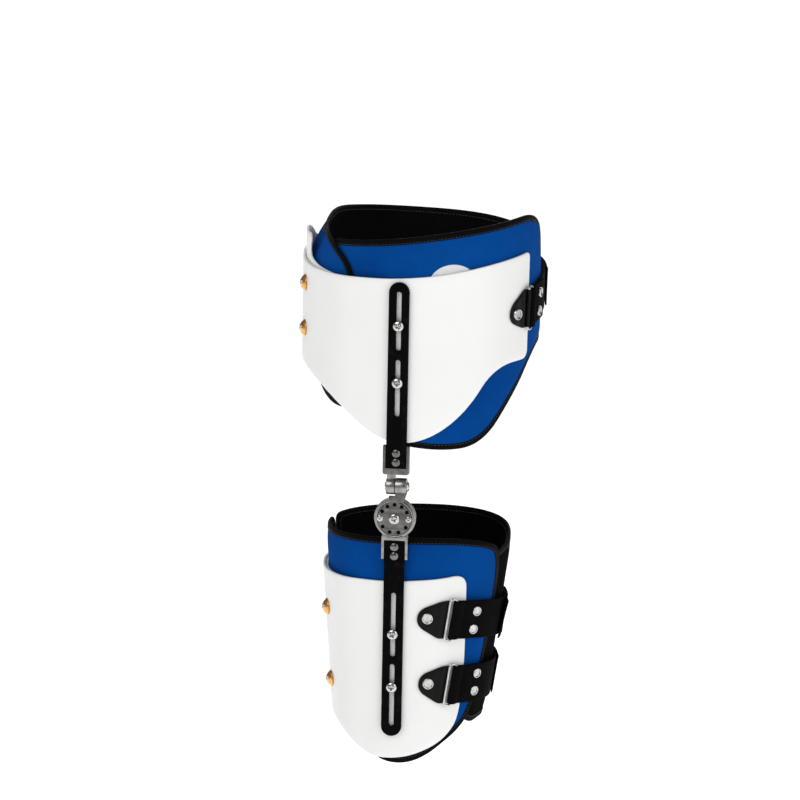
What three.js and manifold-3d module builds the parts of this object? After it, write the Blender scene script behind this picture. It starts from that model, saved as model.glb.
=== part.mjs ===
// A right-side hip brace: a pelvic wrap of two plastic shells over padded liners, a side bar with an
// abduction knuckle and a dial hinge, and a thigh cuff closed by two straps.
// Millimetres, +Z up. The origin is the middle of the wearer's pelvis. The dial faces -Y.
import * as THREE from 'three';
import { mergeVertices } from 'three/addons/utils/BufferGeometryUtils.js';
import Module from 'manifold-3d';

const wasm = await Module();
wasm.setup();

const DEGREE = Math.PI / 180;
const GAP = 0.3; // clearance between neighbouring pieces

// Sections of the wrap and the cuff: rounded rectangles, with the wearer facing 8 degrees off +X
const FACING = 8 * DEGREE;
const SQUARENESS = 2.4; // 2 would be an ellipse
const PELVIS_FRONT = 120.5; // half depth of the wrap's inner face
const PELVIS_SIDE = 152; // half width of the wrap's inner face
const THIGH_TOP = { z: -235, front: 96.9, side: 89.4 }; // the cuff tapers from here
const THIGH_LOW = { z: -485, front: 70, side: 70 }; // to here
const DIAL_Z = -210; // height of the dial's centre
const COLUMN = 6.9; // degrees between the columns of a wall
const FINE = 2.2; // least degrees between two columns
const STRIP = 13; // degrees between the sections of a strap or an edge tape
const HOLE_SIDES = 8;
const RISE = 52; // greatest height of one chord in an outline
const CURVE_STEPS = 3; // chords in each round stretch of an outline

// Thicknesses, measured outward from the inner face of the pads
const PELVIS_PAD = 7;
const PELVIS_SHELL = { inner: 7.4, thick: 3, lift: 2.8 }; // lift: where it laps over the far shell
const PELVIS_FAR_SHELL = { inner: 7.4, thick: 2.4 };
const THIGH_PAD = 6;
const THIGH_SHELL = { inner: 6.4, thick: 3, lift: 2.8 };
const THIGH_INNER_SHELL = { inner: 6.4, thick: 2.4 };
const BINDING = 3; // height of the tape round a pad's edge
const BINDING_GAP = 1.2; // clearance between the tape and the pad
const LAP_THIN = 3; // thickness of a pad's end where the other pad laps over it
const LAP_GAP = 1.1; // clearance between the two pads there

// The pelvic pads lean in towards the waist at the back: how far, over which heights and degrees round
const WAIST = { lean: 26, low: 36, high: 112, start: 120, full: 165, fade: 250, end: 300 };
// Rows of a pad's solid, as shares of its height
const PAD_LEVELS = { plain: [0, 1], leaning: [0, 0.62, 0.82, 1] };

// Side bar and hinge, in the hinge's own frame: x across, y up from the dial's centre, z outward
const BAR = { width: 22, thick: 4, endRadius: 10.9, slot: 5.4 };
const UPPER_BAR = {
  low: 55, high: 257, slots: [[183, 247], [111, 173]], screws: [210, 148], rivets: [71, 61],
};
const LOWER_BAR = {
  low: -243, high: -25.5, slots: [[-154.5, -83], [-232, -162.5]], screws: [-129, -188], rivets: [-32, -42],
};
const BRACKET = { wall: 3, plate: 2, rim: 5, floor: 7, topY: 79 };
const LOWER_BRACKET = { bottomY: -46, rim: 3.5 };
const KNUCKLE = { y: 35, z: 3, radius: 9, leftEnd: -9.8, rightEnd: 12.4, pin: 3 };
const DIAL = {
  rearRadius: 22.7, rearLow: -1.5, rearHigh: 3.5, frontRadius: 20.3, frontLow: 3.9, frontHigh: 8,
};
const DIAL_HOLES = {
  circle: 15.5, radius: 2, upperStep: 30, lowerFrom: 216, lowerStep: 36, lowerCount: 4,
};
const DIAL_BORE = 3.4;

// Screws and rivets: head radius, head height and shank radius
const PAN_SCREW = { head: 6, height: 4.2, shank: 2.4 };
const CENTRE_SCREW = { head: 5.9, height: 3.2, shank: 3 };
const STOP_SCREW = { head: 3.4, height: 1.6, shank: 1.4 };
const BAR_RIVET = { head: 4.8, height: 2.2, shank: 2.4 };
const TAB_RIVET = { head: 6.3, height: 2.6, shank: 2.2 };
const STRAP_RIVET = { head: 5.6, height: 2, shank: 1.8, proud: 1 };
const BACK_SCREW = { head: 4.4, shank: 2.8, cupBase: 9, cupTop: 5.4, cupHeight: 4.8 };
const PELVIS_BACK_SCREWS = { at: 157, heights: [25, -25] };
const THIGH_BACK_SCREWS = { at: 162, heights: [-325.5, -405.5] };

// Closures
const TAB = { thick: 2.5, length: 33, tail: 2, straight: 6.5, narrow: 8.5, rivet: 21.5 };
const STRAP = { thick: 2, width: 42, layer: 2.4, rest: 3, slope: 8 };
const RING = { wire: 1.3, reach: 8, corner: 3, room: 0.7 };
const FOLD = 3.3; // radius of the strap's middle line round a ring's bar
const FOLD_STEPS = 4;
const LOOP = { bar: 2.6, rise: 4.9, leg: 4, foot: 3, footHeight: 2 };

// Looks
const WHITE_PLASTIC = { color: 0xf1f0ee, roughness: 0.45, metalness: 0 };
const BLUE_FABRIC = { color: 0x0d4595, roughness: 0.9, metalness: 0 };
const BLACK_TAPE = { color: 0x0e0e10, roughness: 0.85, metalness: 0 };
const BLACK_LEATHER = { color: 0x121110, roughness: 0.4, metalness: 0 };
const BLACK_METAL = { color: 0x0c0c0d, roughness: 0.45, metalness: 0.4 };
const STEEL = { color: 0x9b9892, roughness: 0.35, metalness: 1 };
const BRIGHT_STEEL = { color: 0xd0cfcc, roughness: 0.2, metalness: 1 };
const COPPER = { color: 0xc07a35, roughness: 0.35, metalness: 1 };

const brace = new THREE.Group();

function addMesh(parent, name, geometry, look) {
  const mesh = new THREE.Mesh(geometry, new THREE.MeshStandardMaterial(look));
  mesh.name = name;
  parent.add(mesh);
  return mesh;
}

// Solids

function signedVolume(positions, index) {
  const corners = [new THREE.Vector3(), new THREE.Vector3(), new THREE.Vector3()];
  let volume = 0;
  for (let i = 0; i < index.length; i += 3) {
    corners.forEach((corner, k) => corner.fromBufferAttribute(positions, index[i + k]));
    volume += corners[0].dot(corners[1].cross(corners[2]));
  }
  return volume;
}

// One closed skin: shared corners merged, flat slivers dropped, faces turned outward
function closed(geometry) {
  const bare = new THREE.BufferGeometry();
  bare.setAttribute('position', geometry.getAttribute('position'));
  bare.setIndex(geometry.getIndex());
  const merged = mergeVertices(bare, 1e-4);
  const index = [];
  const source = merged.getIndex().array;
  for (let i = 0; i < source.length; i += 3) {
    const [a, b, c] = source.subarray(i, i + 3);
    if (a !== b && b !== c && c !== a) index.push(a, b, c);
  }
  const inverted = signedVolume(merged.getAttribute('position'), index) < 0;
  merged.setIndex(inverted ? index.reverse() : index);
  return merged;
}

function toManifold(geometry) {
  const skin = closed(geometry);
  const vertProperties = new Float32Array(skin.getAttribute('position').array);
  const triVerts = new Uint32Array(skin.getIndex().array);
  return new wasm.Manifold(new wasm.Mesh({ numProp: 3, vertProperties, triVerts }));
}

function fromManifold(manifold) {
  const { vertProperties, triVerts } = manifold.getMesh();
  const geometry = new THREE.BufferGeometry();
  geometry.setAttribute('position', new THREE.BufferAttribute(vertProperties, 3));
  geometry.setIndex(new THREE.BufferAttribute(triVerts, 1));
  return geometry;
}

function joined(geometries) {
  const solids = geometries.map(toManifold);
  return fromManifold(solids.reduce((whole, solid) => whole.add(solid)));
}

function drilled(geometry, cutters) {
  const solids = cutters.map(toManifold);
  return fromManifold(solids.reduce((whole, solid) => whole.subtract(solid), toManifold(geometry)));
}

function fromFaces(points, quads) {
  const geometry = new THREE.BufferGeometry().setFromPoints(points);
  geometry.setIndex(quads.flatMap(([a, b, c, d]) => [a, b, c, a, c, d]));
  return closed(geometry);
}

// A turned piece from half profile rows [radius, height], with its axis along +Z
function turned(profile, sides) {
  const points = profile.map(([radius, height]) => new THREE.Vector2(radius, height));
  return closed(new THREE.LatheGeometry(points, sides).rotateX(Math.PI / 2));
}

function plate(shape, low, high) {
  const settings = { depth: high - low, bevelEnabled: false, curveSegments: 2 };
  const extrusion = new THREE.ExtrudeGeometry(shape, settings);
  return closed(extrusion.translate(0, 0, low));
}

function block(x0, x1, y0, y1, z0, z1) {
  const box = new THREE.BoxGeometry(x1 - x0, y1 - y0, z1 - z0);
  return closed(box.translate((x0 + x1) / 2, (y0 + y1) / 2, (z0 + z1) / 2));
}

function rodAlongZ(radius, low, high, sides) {
  return turned([[0, low], [radius, low], [radius, high], [0, high]], sides);
}

// Wall sections

function smooth(value) {
  const t = THREE.MathUtils.clamp(value, 0, 1);
  return t * t * (3 - 2 * t);
}

function ramp(value, from, to) {
  return smooth((value - from) / (to - from));
}

function sectionRadius(angle, front, side) {
  const ahead = Math.abs(Math.cos(angle) / front) ** SQUARENESS;
  const aside = Math.abs(Math.sin(angle) / side) ** SQUARENESS;
  return (ahead + aside) ** (-1 / SQUARENESS);
}

// Turns a section's own ahead and aside distances into x and y
function planPoint(ahead, aside) {
  const x = ahead * Math.cos(FACING) + aside * Math.sin(FACING);
  const y = ahead * Math.sin(FACING) - aside * Math.cos(FACING);
  return new THREE.Vector2(x, y);
}

// The point of a section whose face looks straight along -Y, where the side bar lies
function barPoint(front, side) {
  const slant = (Math.tan(FACING) * (front / side) ** SQUARENESS) ** (1 / (SQUARENESS - 1));
  const angle = Math.atan2(1, -slant);
  const radius = sectionRadius(angle, front, side);
  return planPoint(radius * Math.cos(angle), radius * Math.sin(angle));
}

const PELVIS_FACE = PELVIS_SHELL.inner + PELVIS_SHELL.thick;
const THIGH_FACE = THIGH_SHELL.inner + THIGH_SHELL.thick;
const BAR_PLACE = barPoint(PELVIS_FRONT + PELVIS_FACE, PELVIS_SIDE + PELVIS_FACE);

function pelvisSection() {
  return { x: 0, y: 0, front: PELVIS_FRONT, side: PELVIS_SIDE };
}

// The cuff's outermost line stays under the bar while the rest of it tapers
function thighSection(z) {
  const t = THREE.MathUtils.clamp((z - THIGH_LOW.z) / (THIGH_TOP.z - THIGH_LOW.z), 0, 1);
  const front = THREE.MathUtils.lerp(THIGH_LOW.front, THIGH_TOP.front, t);
  const side = THREE.MathUtils.lerp(THIGH_LOW.side, THIGH_TOP.side, t);
  const { x, y } = BAR_PLACE.clone().sub(barPoint(front + THIGH_FACE, side + THIGH_FACE));
  return { x, y, front, side };
}

const PELVIS = { section: pelvisSection, millimetresPerDegree: 2.45 };
const THIGH = { section: thighSection, millimetresPerDegree: 1.58 };

// A point on a wall: degrees round from the front towards the right hip, height, depth outward
function wallPoint(wall, at, z, depth) {
  const { x, y, front, side } = wall.section(z);
  const angle = at * DEGREE;
  const radius = sectionRadius(angle, front + depth, side + depth);
  const plan = planPoint(radius * Math.cos(angle), radius * Math.sin(angle));
  return new THREE.Vector3(x + plan.x, y + plan.y, z);
}

// A frame on a wall: z outward, y up along the wall
function wallFrame(wall, at, z, depth) {
  const along = wallPoint(wall, at + 1, z, depth).sub(wallPoint(wall, at - 1, z, depth));
  const up = wallPoint(wall, at, z + 1, depth).sub(wallPoint(wall, at, z - 1, depth)).normalize();
  const out = up.clone().cross(along).normalize();
  const right = up.clone().cross(out).normalize();
  const frame = new THREE.Matrix4().makeBasis(right, up, out);
  return frame.setPosition(wallPoint(wall, at, z, depth));
}

function rodThroughWall(wall, at, z, depth, radius, reach) {
  return rodAlongZ(radius, -reach, reach, HOLE_SIDES).applyMatrix4(wallFrame(wall, at, z, depth));
}

// Outlines on a wall

// Rows of an outline are its corners: degrees round, height, and how far from the corner it rounds off
function corner(at, z, round) {
  return { at, z, round };
}

const FULL = Infinity; // rounds off from the middle of one side to the middle of the next

function roundedOutline(rows, scale, step = COLUMN) {
  const points = rows.map(({ at, z }) => new THREE.Vector2(at * scale, z));
  const path = new THREE.Path();
  rows.forEach(({ round }, i) => {
    const here = points[i];
    const towards = (other) => here.clone().lerp(other, Math.min(round / here.distanceTo(other), 0.5));
    const start = towards(points.at(i - 1));
    const end = towards(points[(i + 1) % rows.length]);
    if (i === 0) path.moveTo(start.x, start.y);
    else path.lineTo(start.x, start.y);
    path.quadraticCurveTo(here.x, here.y, end.x, end.y);
  });
  path.closePath();
  return refined(path.getPoints(CURVE_STEPS), step * scale);
}

// Splits long sides, and drops points that repeat
function refined(points, step) {
  const fine = [];
  points.forEach((point, i) => {
    const next = points[(i + 1) % points.length];
    const length = point.distanceTo(next);
    if (length < 0.01) return;
    const parts = Math.ceil(Math.max(Math.abs(next.x - point.x) / step, Math.abs(next.y - point.y) / RISE));
    for (let k = 0; k < parts; k++) fine.push(point.clone().lerp(next, k / parts));
  });
  return fine;
}

function inset(points, distance) {
  return points.map((point, i) => {
    const before = point.clone().sub(points.at(i - 1)).normalize();
    const after = points[(i + 1) % points.length].clone().sub(point).normalize();
    const middle = before.add(after).normalize();
    return new THREE.Vector2(point.x - middle.y * distance, point.y + middle.x * distance);
  });
}

// Lowest and highest point of an outline over one x
function span(points, x) {
  const heights = [];
  points.forEach((point, i) => {
    const next = points[(i + 1) % points.length];
    if ((point.x - x) * (next.x - x) > 0 || point.x === next.x) return;
    heights.push(THREE.MathUtils.mapLinear(x, point.x, next.x, point.y, next.y));
  });
  return [Math.min(...heights), Math.max(...heights)];
}

function columnsOf(points, scale) {
  const xs = points.map((point) => point.x);
  const first = Math.min(...xs) + 0.02;
  const last = Math.max(...xs) - 0.02;
  const step = COLUMN * scale;
  const lattice = [];
  for (let x = Math.ceil(first / step) * step; x < last; x += step) lattice.push(x);
  const inside = [...lattice, ...xs].filter((x) => x > first && x < last).sort((a, b) => a - b);
  const columns = [first];
  inside.forEach((x) => {
    const clear = x - columns.at(-1) > FINE * scale && last - x > FINE * scale;
    if (clear) columns.push(x);
  });
  return [...columns, last];
}

// A wall of the given outline; inner and outer give its depths at a number of degrees round and a height
function wallSolid(wall, outline, inner, outer, rows = [0, 1]) {
  const scale = wall.millimetresPerDegree;
  const columns = columnsOf(outline, scale);
  const points = [];
  columns.forEach((x) => {
    const [low, high] = span(outline, x);
    rows.forEach((share) => {
      const z = THREE.MathUtils.lerp(low, high, share);
      points.push(wallPoint(wall, x / scale, z, inner(x / scale, z)));
      points.push(wallPoint(wall, x / scale, z, outer(x / scale, z)));
    });
  });
  const levels = rows.length - 1;
  const inAt = (i, j) => (i * rows.length + j) * 2;
  const outAt = (i, j) => inAt(i, j) + 1;
  const end = columns.length - 1;
  const quads = [];
  for (let j = 0; j < levels; j++) {
    for (let i = 0; i < end; i++) {
      quads.push([inAt(i, j), inAt(i + 1, j), inAt(i + 1, j + 1), inAt(i, j + 1)]);
      quads.push([outAt(i, j), outAt(i, j + 1), outAt(i + 1, j + 1), outAt(i + 1, j)]);
    }
    quads.push([inAt(0, j), inAt(0, j + 1), outAt(0, j + 1), outAt(0, j)]);
    quads.push([inAt(end, j), outAt(end, j), outAt(end, j + 1), inAt(end, j + 1)]);
  }
  for (let i = 0; i < end; i++) {
    quads.push([inAt(i, 0), outAt(i, 0), outAt(i + 1, 0), inAt(i + 1, 0)]);
    quads.push([inAt(i, levels), inAt(i + 1, levels), outAt(i + 1, levels), outAt(i, levels)]);
  }
  return fromFaces(points, quads);
}

// The tape round a pad's edge: a closed strip between the outline and the outline set in
function edgeSolid(wall, outline, inner, outer) {
  const scale = wall.millimetresPerDegree;
  const tapeInside = inset(outline, BINDING);
  const points = [];
  outline.forEach((edge, k) => {
    [edge, tapeInside[k]].forEach(({ x, y }) => {
      const at = x / scale;
      points.push(wallPoint(wall, at, y, inner(at, y)), wallPoint(wall, at, y, outer(at, y)));
    });
  });
  const quads = [];
  outline.forEach((edge, k) => {
    const [a0, a1, b0, b1] = [0, 1, 2, 3].map((n) => k * 4 + n);
    const [c0, c1, d0, d1] = [0, 1, 2, 3].map((n) => ((k + 1) % outline.length) * 4 + n);
    quads.push([a0, c0, d0, b0], [a1, b1, d1, c1], [a0, a1, c1, c0], [b0, d0, d1, b1]);
  });
  return fromFaces(points, quads);
}

function addPad(name, bindingName, wall, rows, inner, outer, levels) {
  const outline = roundedOutline(rows, wall.millimetresPerDegree, STRIP);
  const padOutline = inset(outline, BINDING + BINDING_GAP);
  addMesh(brace, name, wallSolid(wall, padOutline, inner, outer, levels), BLUE_FABRIC);
  addMesh(brace, bindingName, edgeSolid(wall, outline, inner, outer), BLACK_TAPE);
}

// Fasteners

function headProfile({ head, height, shank }, base, tip) {
  return [
    [0, tip], [shank, tip], [shank, base], [head, base],
    [head * 0.86, base + height * 0.65], [0, base + height],
  ];
}

function addFastener(parent, name, spec, frame, base, tip, sides = 8) {
  const mesh = addMesh(parent, name, turned(headProfile(spec, base, tip), sides), BRIGHT_STEEL);
  mesh.applyMatrix4(frame);
}

// A screw in a cone-shaped cup washer, through both shells at the back
function addBackScrews(prefix, wall, { at, heights }, face, innerFace) {
  const { head, shank, cupBase, cupTop, cupHeight } = BACK_SCREW;
  const bore = shank + GAP;
  const dish = cupHeight - 1.4;
  const cup = [[bore, GAP], [cupBase, GAP], [cupBase, 1], [cupTop, cupHeight], [bore, dish], [bore, GAP]];
  const top = cupHeight + 0.15;
  const screw = [
    [0, innerFace - face], [shank, innerFace - face], [shank, cupHeight - 0.8], [head, top],
    [head * 0.6, top + 0.8], [0, top + 1.1],
  ];
  heights.forEach((z, i) => {
    const frame = wallFrame(wall, at, z, face);
    addMesh(brace, `${prefix}_cup_${i + 1}`, turned(cup, 8), COPPER).applyMatrix4(frame);
    addMesh(brace, `${prefix}_back_screw_${i + 1}`, turned(screw, 8), BRIGHT_STEEL).applyMatrix4(frame);
  });
  return heights.map((z) => rodThroughWall(wall, at, z, face, bore, 16));
}

// The side bar's own frame
const hingeFrame = new THREE.Group();
hingeFrame.position.set(BAR_PLACE.x, BAR_PLACE.y - GAP, DIAL_Z);
hingeFrame.rotation.x = Math.PI / 2;
brace.add(hingeFrame);
hingeFrame.updateMatrix();

function hingePlace(x, y) {
  return new THREE.Matrix4().makeTranslation(x, y, 0);
}

function barScrewHoles(heights) {
  const bore = PAN_SCREW.shank + GAP;
  return heights.map((y) => {
    const place = hingeFrame.matrix.clone().multiply(hingePlace(0, y));
    return rodAlongZ(bore, -10, 2, HOLE_SIDES).applyMatrix4(place);
  });
}

// Closures: a leather tab riveted to the near shell, a wire ring, and a strap to a loop on the far shell

// lobe is how far the tab's round end stands above its ring
function tabOutline({ wall, ringAt, z, tabSize, lobe }) {
  const scale = wall.millimetresPerDegree;
  const half = STRAP.width / 2;
  const place = (along, height, round) => corner(ringAt + (along * tabSize) / scale, z + height, round);
  const rows = [
    place(-TAB.tail, -half, 1), place(TAB.straight, -half, 5), place(TAB.length, lobe - TAB.narrow, 10),
    place(TAB.length, lobe + TAB.narrow, 10), place(TAB.straight, half, 5), place(-TAB.tail, half, 1),
  ];
  return roundedOutline(rows, scale);
}

// The strap's middle line in plan: a lap round the ring, the way round the front, the far loop, the flap.
// lap gives the depth of the outer layer that the rivets hold.
function strapRoute({ wall, ringAt, edge, farEdge, farAt, near, pad, far, lapEnd, flapEnd, flare }) {
  const scale = wall.millimetresPerDegree;
  const barAt = ringAt - RING.reach / scale;
  const barDepth = near + GAP + TAB.thick + GAP + RING.wire;
  const farDepth = far + LOOP.rise;
  const rest = pad + STRAP.rest;
  const slope = STRAP.slope / scale;
  const nearFoot = edge - 1 - slope;
  const farFoot = farEdge + 1 + slope;
  const rise = (at, bar) => (2 * FOLD - STRAP.layer) * ramp(Math.abs(at - bar) * scale, STRAP.slope, 1);
  const lower = (at) => {
    const nearRise = (barDepth - FOLD - rest) * ramp(at, nearFoot, edge - 1);
    const farRise = (farDepth - FOLD - rest) * ramp(at, farFoot, farEdge + 1);
    return rest + nearRise + farRise;
  };
  const lap = (at) => lower(at) + STRAP.layer + rise(at, barAt);
  const standOff = (at) => flare * ramp(at, flapEnd - slope, flapEnd);
  const line = [];
  const nearBends = [(edge + barAt) / 2, edge - 1, edge - 1 - slope / 2, nearFoot];
  const bends = [...nearBends, farFoot, farEdge + 1 + slope / 2, farEdge + 1];
  const run = (from, to, depth) => {
    const sign = Math.sign(to - from);
    const between = bends.filter((at) => (at - from) * sign > 1 && (to - at) * sign > 1);
    const stops = [from, ...between.sort((a, b) => (a - b) * sign), to];
    stops.slice(1).forEach((stop, i) => {
      const steps = Math.ceil(Math.abs(stop - stops[i]) / STRIP);
      for (let k = i ? 1 : 0; k <= steps; k++) {
        const at = THREE.MathUtils.lerp(stops[i], stop, k / steps);
        line.push({ at, depth: depth(at) });
      }
    });
  };
  const turn = (centre, depth, direction, from) => {
    for (let k = 1; k < FOLD_STEPS; k++) {
      const angle = (k / FOLD_STEPS) * Math.PI;
      const along = (direction * Math.sin(angle) * FOLD) / scale;
      line.push({ at: centre + along, depth: depth + from * Math.cos(angle) * FOLD });
    }
  };
  run(lapEnd, barAt, lap);
  turn(barAt, barDepth, 1, 1);
  run(barAt, farAt, lower);
  turn(farAt, farDepth, -1, -1);
  run(farAt, flapEnd, (at) => lower(at) + STRAP.layer + rise(at, farAt) + standOff(at));
  return { line, lap };
}

// How far a strap has come down where it slants from its ring to its level stretch
function strapDrop({ ringAt, drop, levelFrom }, at) {
  return drop * ramp(at, ringAt, levelFrom);
}

function strapSolid(spec, line) {
  const edges = [-STRAP.width / 2, STRAP.width / 2].map((up) => {
    const height = (at) => spec.z + up - strapDrop(spec, at);
    const middle = line.map(({ at, depth }) => wallPoint(spec.wall, at, height(at), depth));
    return middle.flatMap((point, k) => {
      const before = middle[Math.max(k - 1, 0)];
      const after = middle[Math.min(k + 1, middle.length - 1)];
      const along = after.clone().sub(before).normalize();
      const across = new THREE.Vector3(along.y, -along.x, 0).setLength(STRAP.thick / 2);
      return [point.clone().sub(across), point.clone().add(across)];
    });
  });
  const count = line.length;
  const points = edges.flat();
  const place = (k, high, outer) => high * count * 2 + k * 2 + outer;
  const quads = [];
  for (let k = 0; k < count - 1; k++) {
    const ringOf = (n) => [place(n, 0, 0), place(n, 0, 1), place(n, 1, 1), place(n, 1, 0)];
    const here = ringOf(k);
    const next = ringOf(k + 1);
    here.forEach((corner, n) => quads.push([corner, here[(n + 1) % 4], next[(n + 1) % 4], next[n]]));
  }
  const last = count - 1;
  quads.push([place(0, 0, 0), place(0, 1, 0), place(0, 1, 1), place(0, 0, 1)]);
  quads.push([place(last, 0, 0), place(last, 0, 1), place(last, 1, 1), place(last, 1, 0)]);
  return fromFaces(points, quads);
}

// A rectangular ring of round wire, lying in the plane of its frame
function ringSolid() {
  const halfWidth = RING.reach / 2;
  const halfHeight = STRAP.width / 2 + RING.wire + RING.room;
  const path = new THREE.CurvePath();
  const corners = [[-1, -1], [1, -1], [1, 1], [-1, 1]].map(([x, y]) => [x * halfWidth, y * halfHeight]);
  const spots = corners.map(([x, y]) => new THREE.Vector3(x, y, 0));
  const near = (spot, other) => spot.clone().lerp(other, RING.corner / spot.distanceTo(other));
  spots.forEach((spot, i) => {
    const before = spots.at(i - 1);
    const after = spots[(i + 1) % 4];
    path.add(new THREE.QuadraticBezierCurve3(near(spot, before), spot, near(spot, after)));
    path.add(new THREE.LineCurve3(near(spot, after), near(after, spot)));
  });
  const line = path.curves.flatMap((curve) => curve.getPoints(curve.isLineCurve3 ? 1 : 2).slice(0, -1));
  return tubeRing(line, RING.wire, 6);
}

// A closed tube round a flat closed line
function tubeRing(line, radius, sides) {
  const points = line.flatMap((spot, k) => {
    const before = line.at(k - 1);
    const after = line[(k + 1) % line.length];
    const along = after.clone().sub(before).normalize();
    const across = new THREE.Vector3(along.y, -along.x, 0);
    return Array.from({ length: sides }, (_, n) => {
      const angle = (n / sides) * 2 * Math.PI;
      const out = across.clone().multiplyScalar(Math.cos(angle) * radius).setZ(Math.sin(angle) * radius);
      return out.add(spot);
    });
  });
  const quads = [];
  line.forEach((spot, k) => {
    const next = (k + 1) % line.length;
    for (let n = 0; n < sides; n++) {
      const m = (n + 1) % sides;
      quads.push([k * sides + n, k * sides + m, next * sides + m, next * sides + n]);
    }
  });
  return fromFaces(points, quads);
}

// A plain loop on the far shell: a bar on two legs with feet
function loopSolid() {
  const inside = STRAP.width / 2 + 1;
  const outside = inside + LOOP.leg;
  const end = outside + LOOP.foot;
  const barLow = LOOP.rise - LOOP.bar / 2;
  const barHigh = barLow + LOOP.bar;
  const profile = new THREE.Shape();
  profile.moveTo(-end, GAP);
  profile.lineTo(-inside, GAP);
  profile.lineTo(-inside, barLow);
  profile.lineTo(inside, barLow);
  profile.lineTo(inside, GAP);
  profile.lineTo(end, GAP);
  profile.lineTo(end, GAP + LOOP.footHeight);
  profile.lineTo(outside, GAP + LOOP.footHeight);
  profile.lineTo(outside, barHigh);
  profile.lineTo(-outside, barHigh);
  profile.lineTo(-outside, GAP + LOOP.footHeight);
  profile.lineTo(-end, GAP + LOOP.footHeight);
  const turn = new THREE.Matrix4().makeBasis(
    new THREE.Vector3(0, 1, 0), new THREE.Vector3(0, 0, 1), new THREE.Vector3(1, 0, 0),
  );
  return closed(plate(profile, -LOOP.bar / 2, LOOP.bar / 2).applyMatrix4(turn));
}

function addClosure(spec) {
  const { prefix, suffix, wall, z, ringAt, near, far, farAt, tabSize, lobe, rivets } = spec;
  const scale = wall.millimetresPerDegree;
  const tabFace = near + GAP + TAB.thick;
  const rivetAt = ringAt + (TAB.rivet * tabSize) / scale;
  const bore = TAB_RIVET.shank + GAP;
  const tab = wallSolid(wall, tabOutline(spec), () => near + GAP, () => tabFace);
  const tabHole = rodThroughWall(wall, rivetAt, z + lobe, tabFace, bore, 16);
  addMesh(brace, `${prefix}_tab${suffix}`, drilled(tab, [tabHole]), BLACK_LEATHER);
  const rivetFrame = wallFrame(wall, rivetAt, z + lobe, tabFace);
  addFastener(brace, `${prefix}_tab_rivet${suffix}`, TAB_RIVET, rivetFrame, GAP, GAP - TAB.thick - 3);

  const ringMiddle = ringAt - RING.reach / 2 / scale;
  const ringFrame = wallFrame(wall, ringMiddle, z, tabFace + GAP + RING.wire);
  addMesh(brace, `${prefix}_ring${suffix}`, ringSolid(), BRIGHT_STEEL).applyMatrix4(ringFrame);

  const { line, lap } = strapRoute(spec);
  const strapFace = (at) => lap(at) + STRAP.thick / 2;
  const strapBore = STRAP_RIVET.shank + GAP;
  const heightOf = ({ at, up }) => z + up - strapDrop(spec, at);
  const holes = rivets.map((row) => {
    return rodThroughWall(wall, row.at, heightOf(row), strapFace(row.at), strapBore, 14);
  });
  addMesh(brace, `${prefix}_strap${suffix}`, drilled(strapSolid(spec, line), holes), BLACK_TAPE);
  rivets.forEach((row, i) => {
    const frame = wallFrame(wall, row.at, heightOf(row), strapFace(row.at));
    const tip = -(STRAP.layer + STRAP.thick);
    addFastener(brace, `${prefix}_strap_rivet${suffix}_${i + 1}`, STRAP_RIVET, frame, STRAP_RIVET.proud, tip);
  });
  const loopFrame = wallFrame(wall, farAt, z - strapDrop(spec, farAt), far);
  addMesh(brace, `${prefix}_far_loop${suffix}`, loopSolid(), BLACK_METAL).applyMatrix4(loopFrame);
  return tabHole;
}

// Pelvic wrap

// Degrees round where each piece steps over or under its neighbour
const PELVIS_LAPS = { shell: [112, 126], pad: [98, 116], farPad: [172, 156] };
const pelvisShellInner = (at) => PELVIS_SHELL.inner + PELVIS_SHELL.lift * ramp(at, ...PELVIS_LAPS.shell);
const pelvisShellOuter = (at) => pelvisShellInner(at) + PELVIS_SHELL.thick;
const pelvisPadOuter = (at) => PELVIS_PAD - (PELVIS_PAD - LAP_THIN) * ramp(at, ...PELVIS_LAPS.pad);
const pelvisFarPadInner = (at) => (LAP_THIN + LAP_GAP) * ramp(at, ...PELVIS_LAPS.farPad);

function waistLean(at, z) {
  const { lean, low, high, start, full, fade, end } = WAIST;
  return lean * ramp(z, low, high) * ramp(at, start, full) * ramp(at, end, fade);
}

function leaning(depth) {
  return (at, z) => depth(at) - waistLean(at, z);
}

const pelvicShellRows = [
  corner(42.2, -44, 10), corner(62, -46, FULL), corner(73, -92, FULL), corner(85.5, -121, FULL),
  corner(98, -131, FULL), corner(110, -121, FULL), corner(128, -83, FULL), corner(150, -63, FULL),
  corner(197, -60, 10), corner(197, 50, 10), corner(125, 47.5, FULL), corner(90, 51, FULL),
  corner(62, 66, FULL), corner(41.6, 72, 7),
];
const pelvicFarShellRows = [
  corner(128, -54, 8), corner(165, -54, FULL), corner(250, -60, FULL), corner(318, -38, 12),
  corner(318, 50, 12), corner(250, 48, FULL), corner(214, 50, FULL), corner(200, 74, FULL),
  corner(172, 77, FULL), corner(151, 82, FULL), corner(156, 58, FULL), corner(146, 51.5, FULL),
  corner(128, 47, 6),
];
const pelvicPadRows = [
  corner(2, -44, 24), corner(30, -38, FULL), corner(50, -82, FULL), corner(66, -133, FULL),
  corner(84, -138, FULL), corner(104, -130, FULL), corner(116, -97, FULL), corner(134, -100, FULL),
  corner(154, -66, FULL), corner(150, -20, FULL), corner(136, 82, 10), corner(100, 92, FULL),
  corner(58, 109, FULL), corner(33, 111.5, FULL), corner(9, 79, FULL),
];
const pelvicFarPadRows = [
  corner(119, -74, 10), corner(165, -64, FULL), corner(250, -72, FULL), corner(325, -50, 16),
  corner(325, 66, 30), corner(250, 80, FULL), corner(208, 92, FULL), corner(174, 78, FULL),
  corner(150, 90, FULL), corner(131, 81, FULL), corner(118.5, 54, 30),
];

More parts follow.
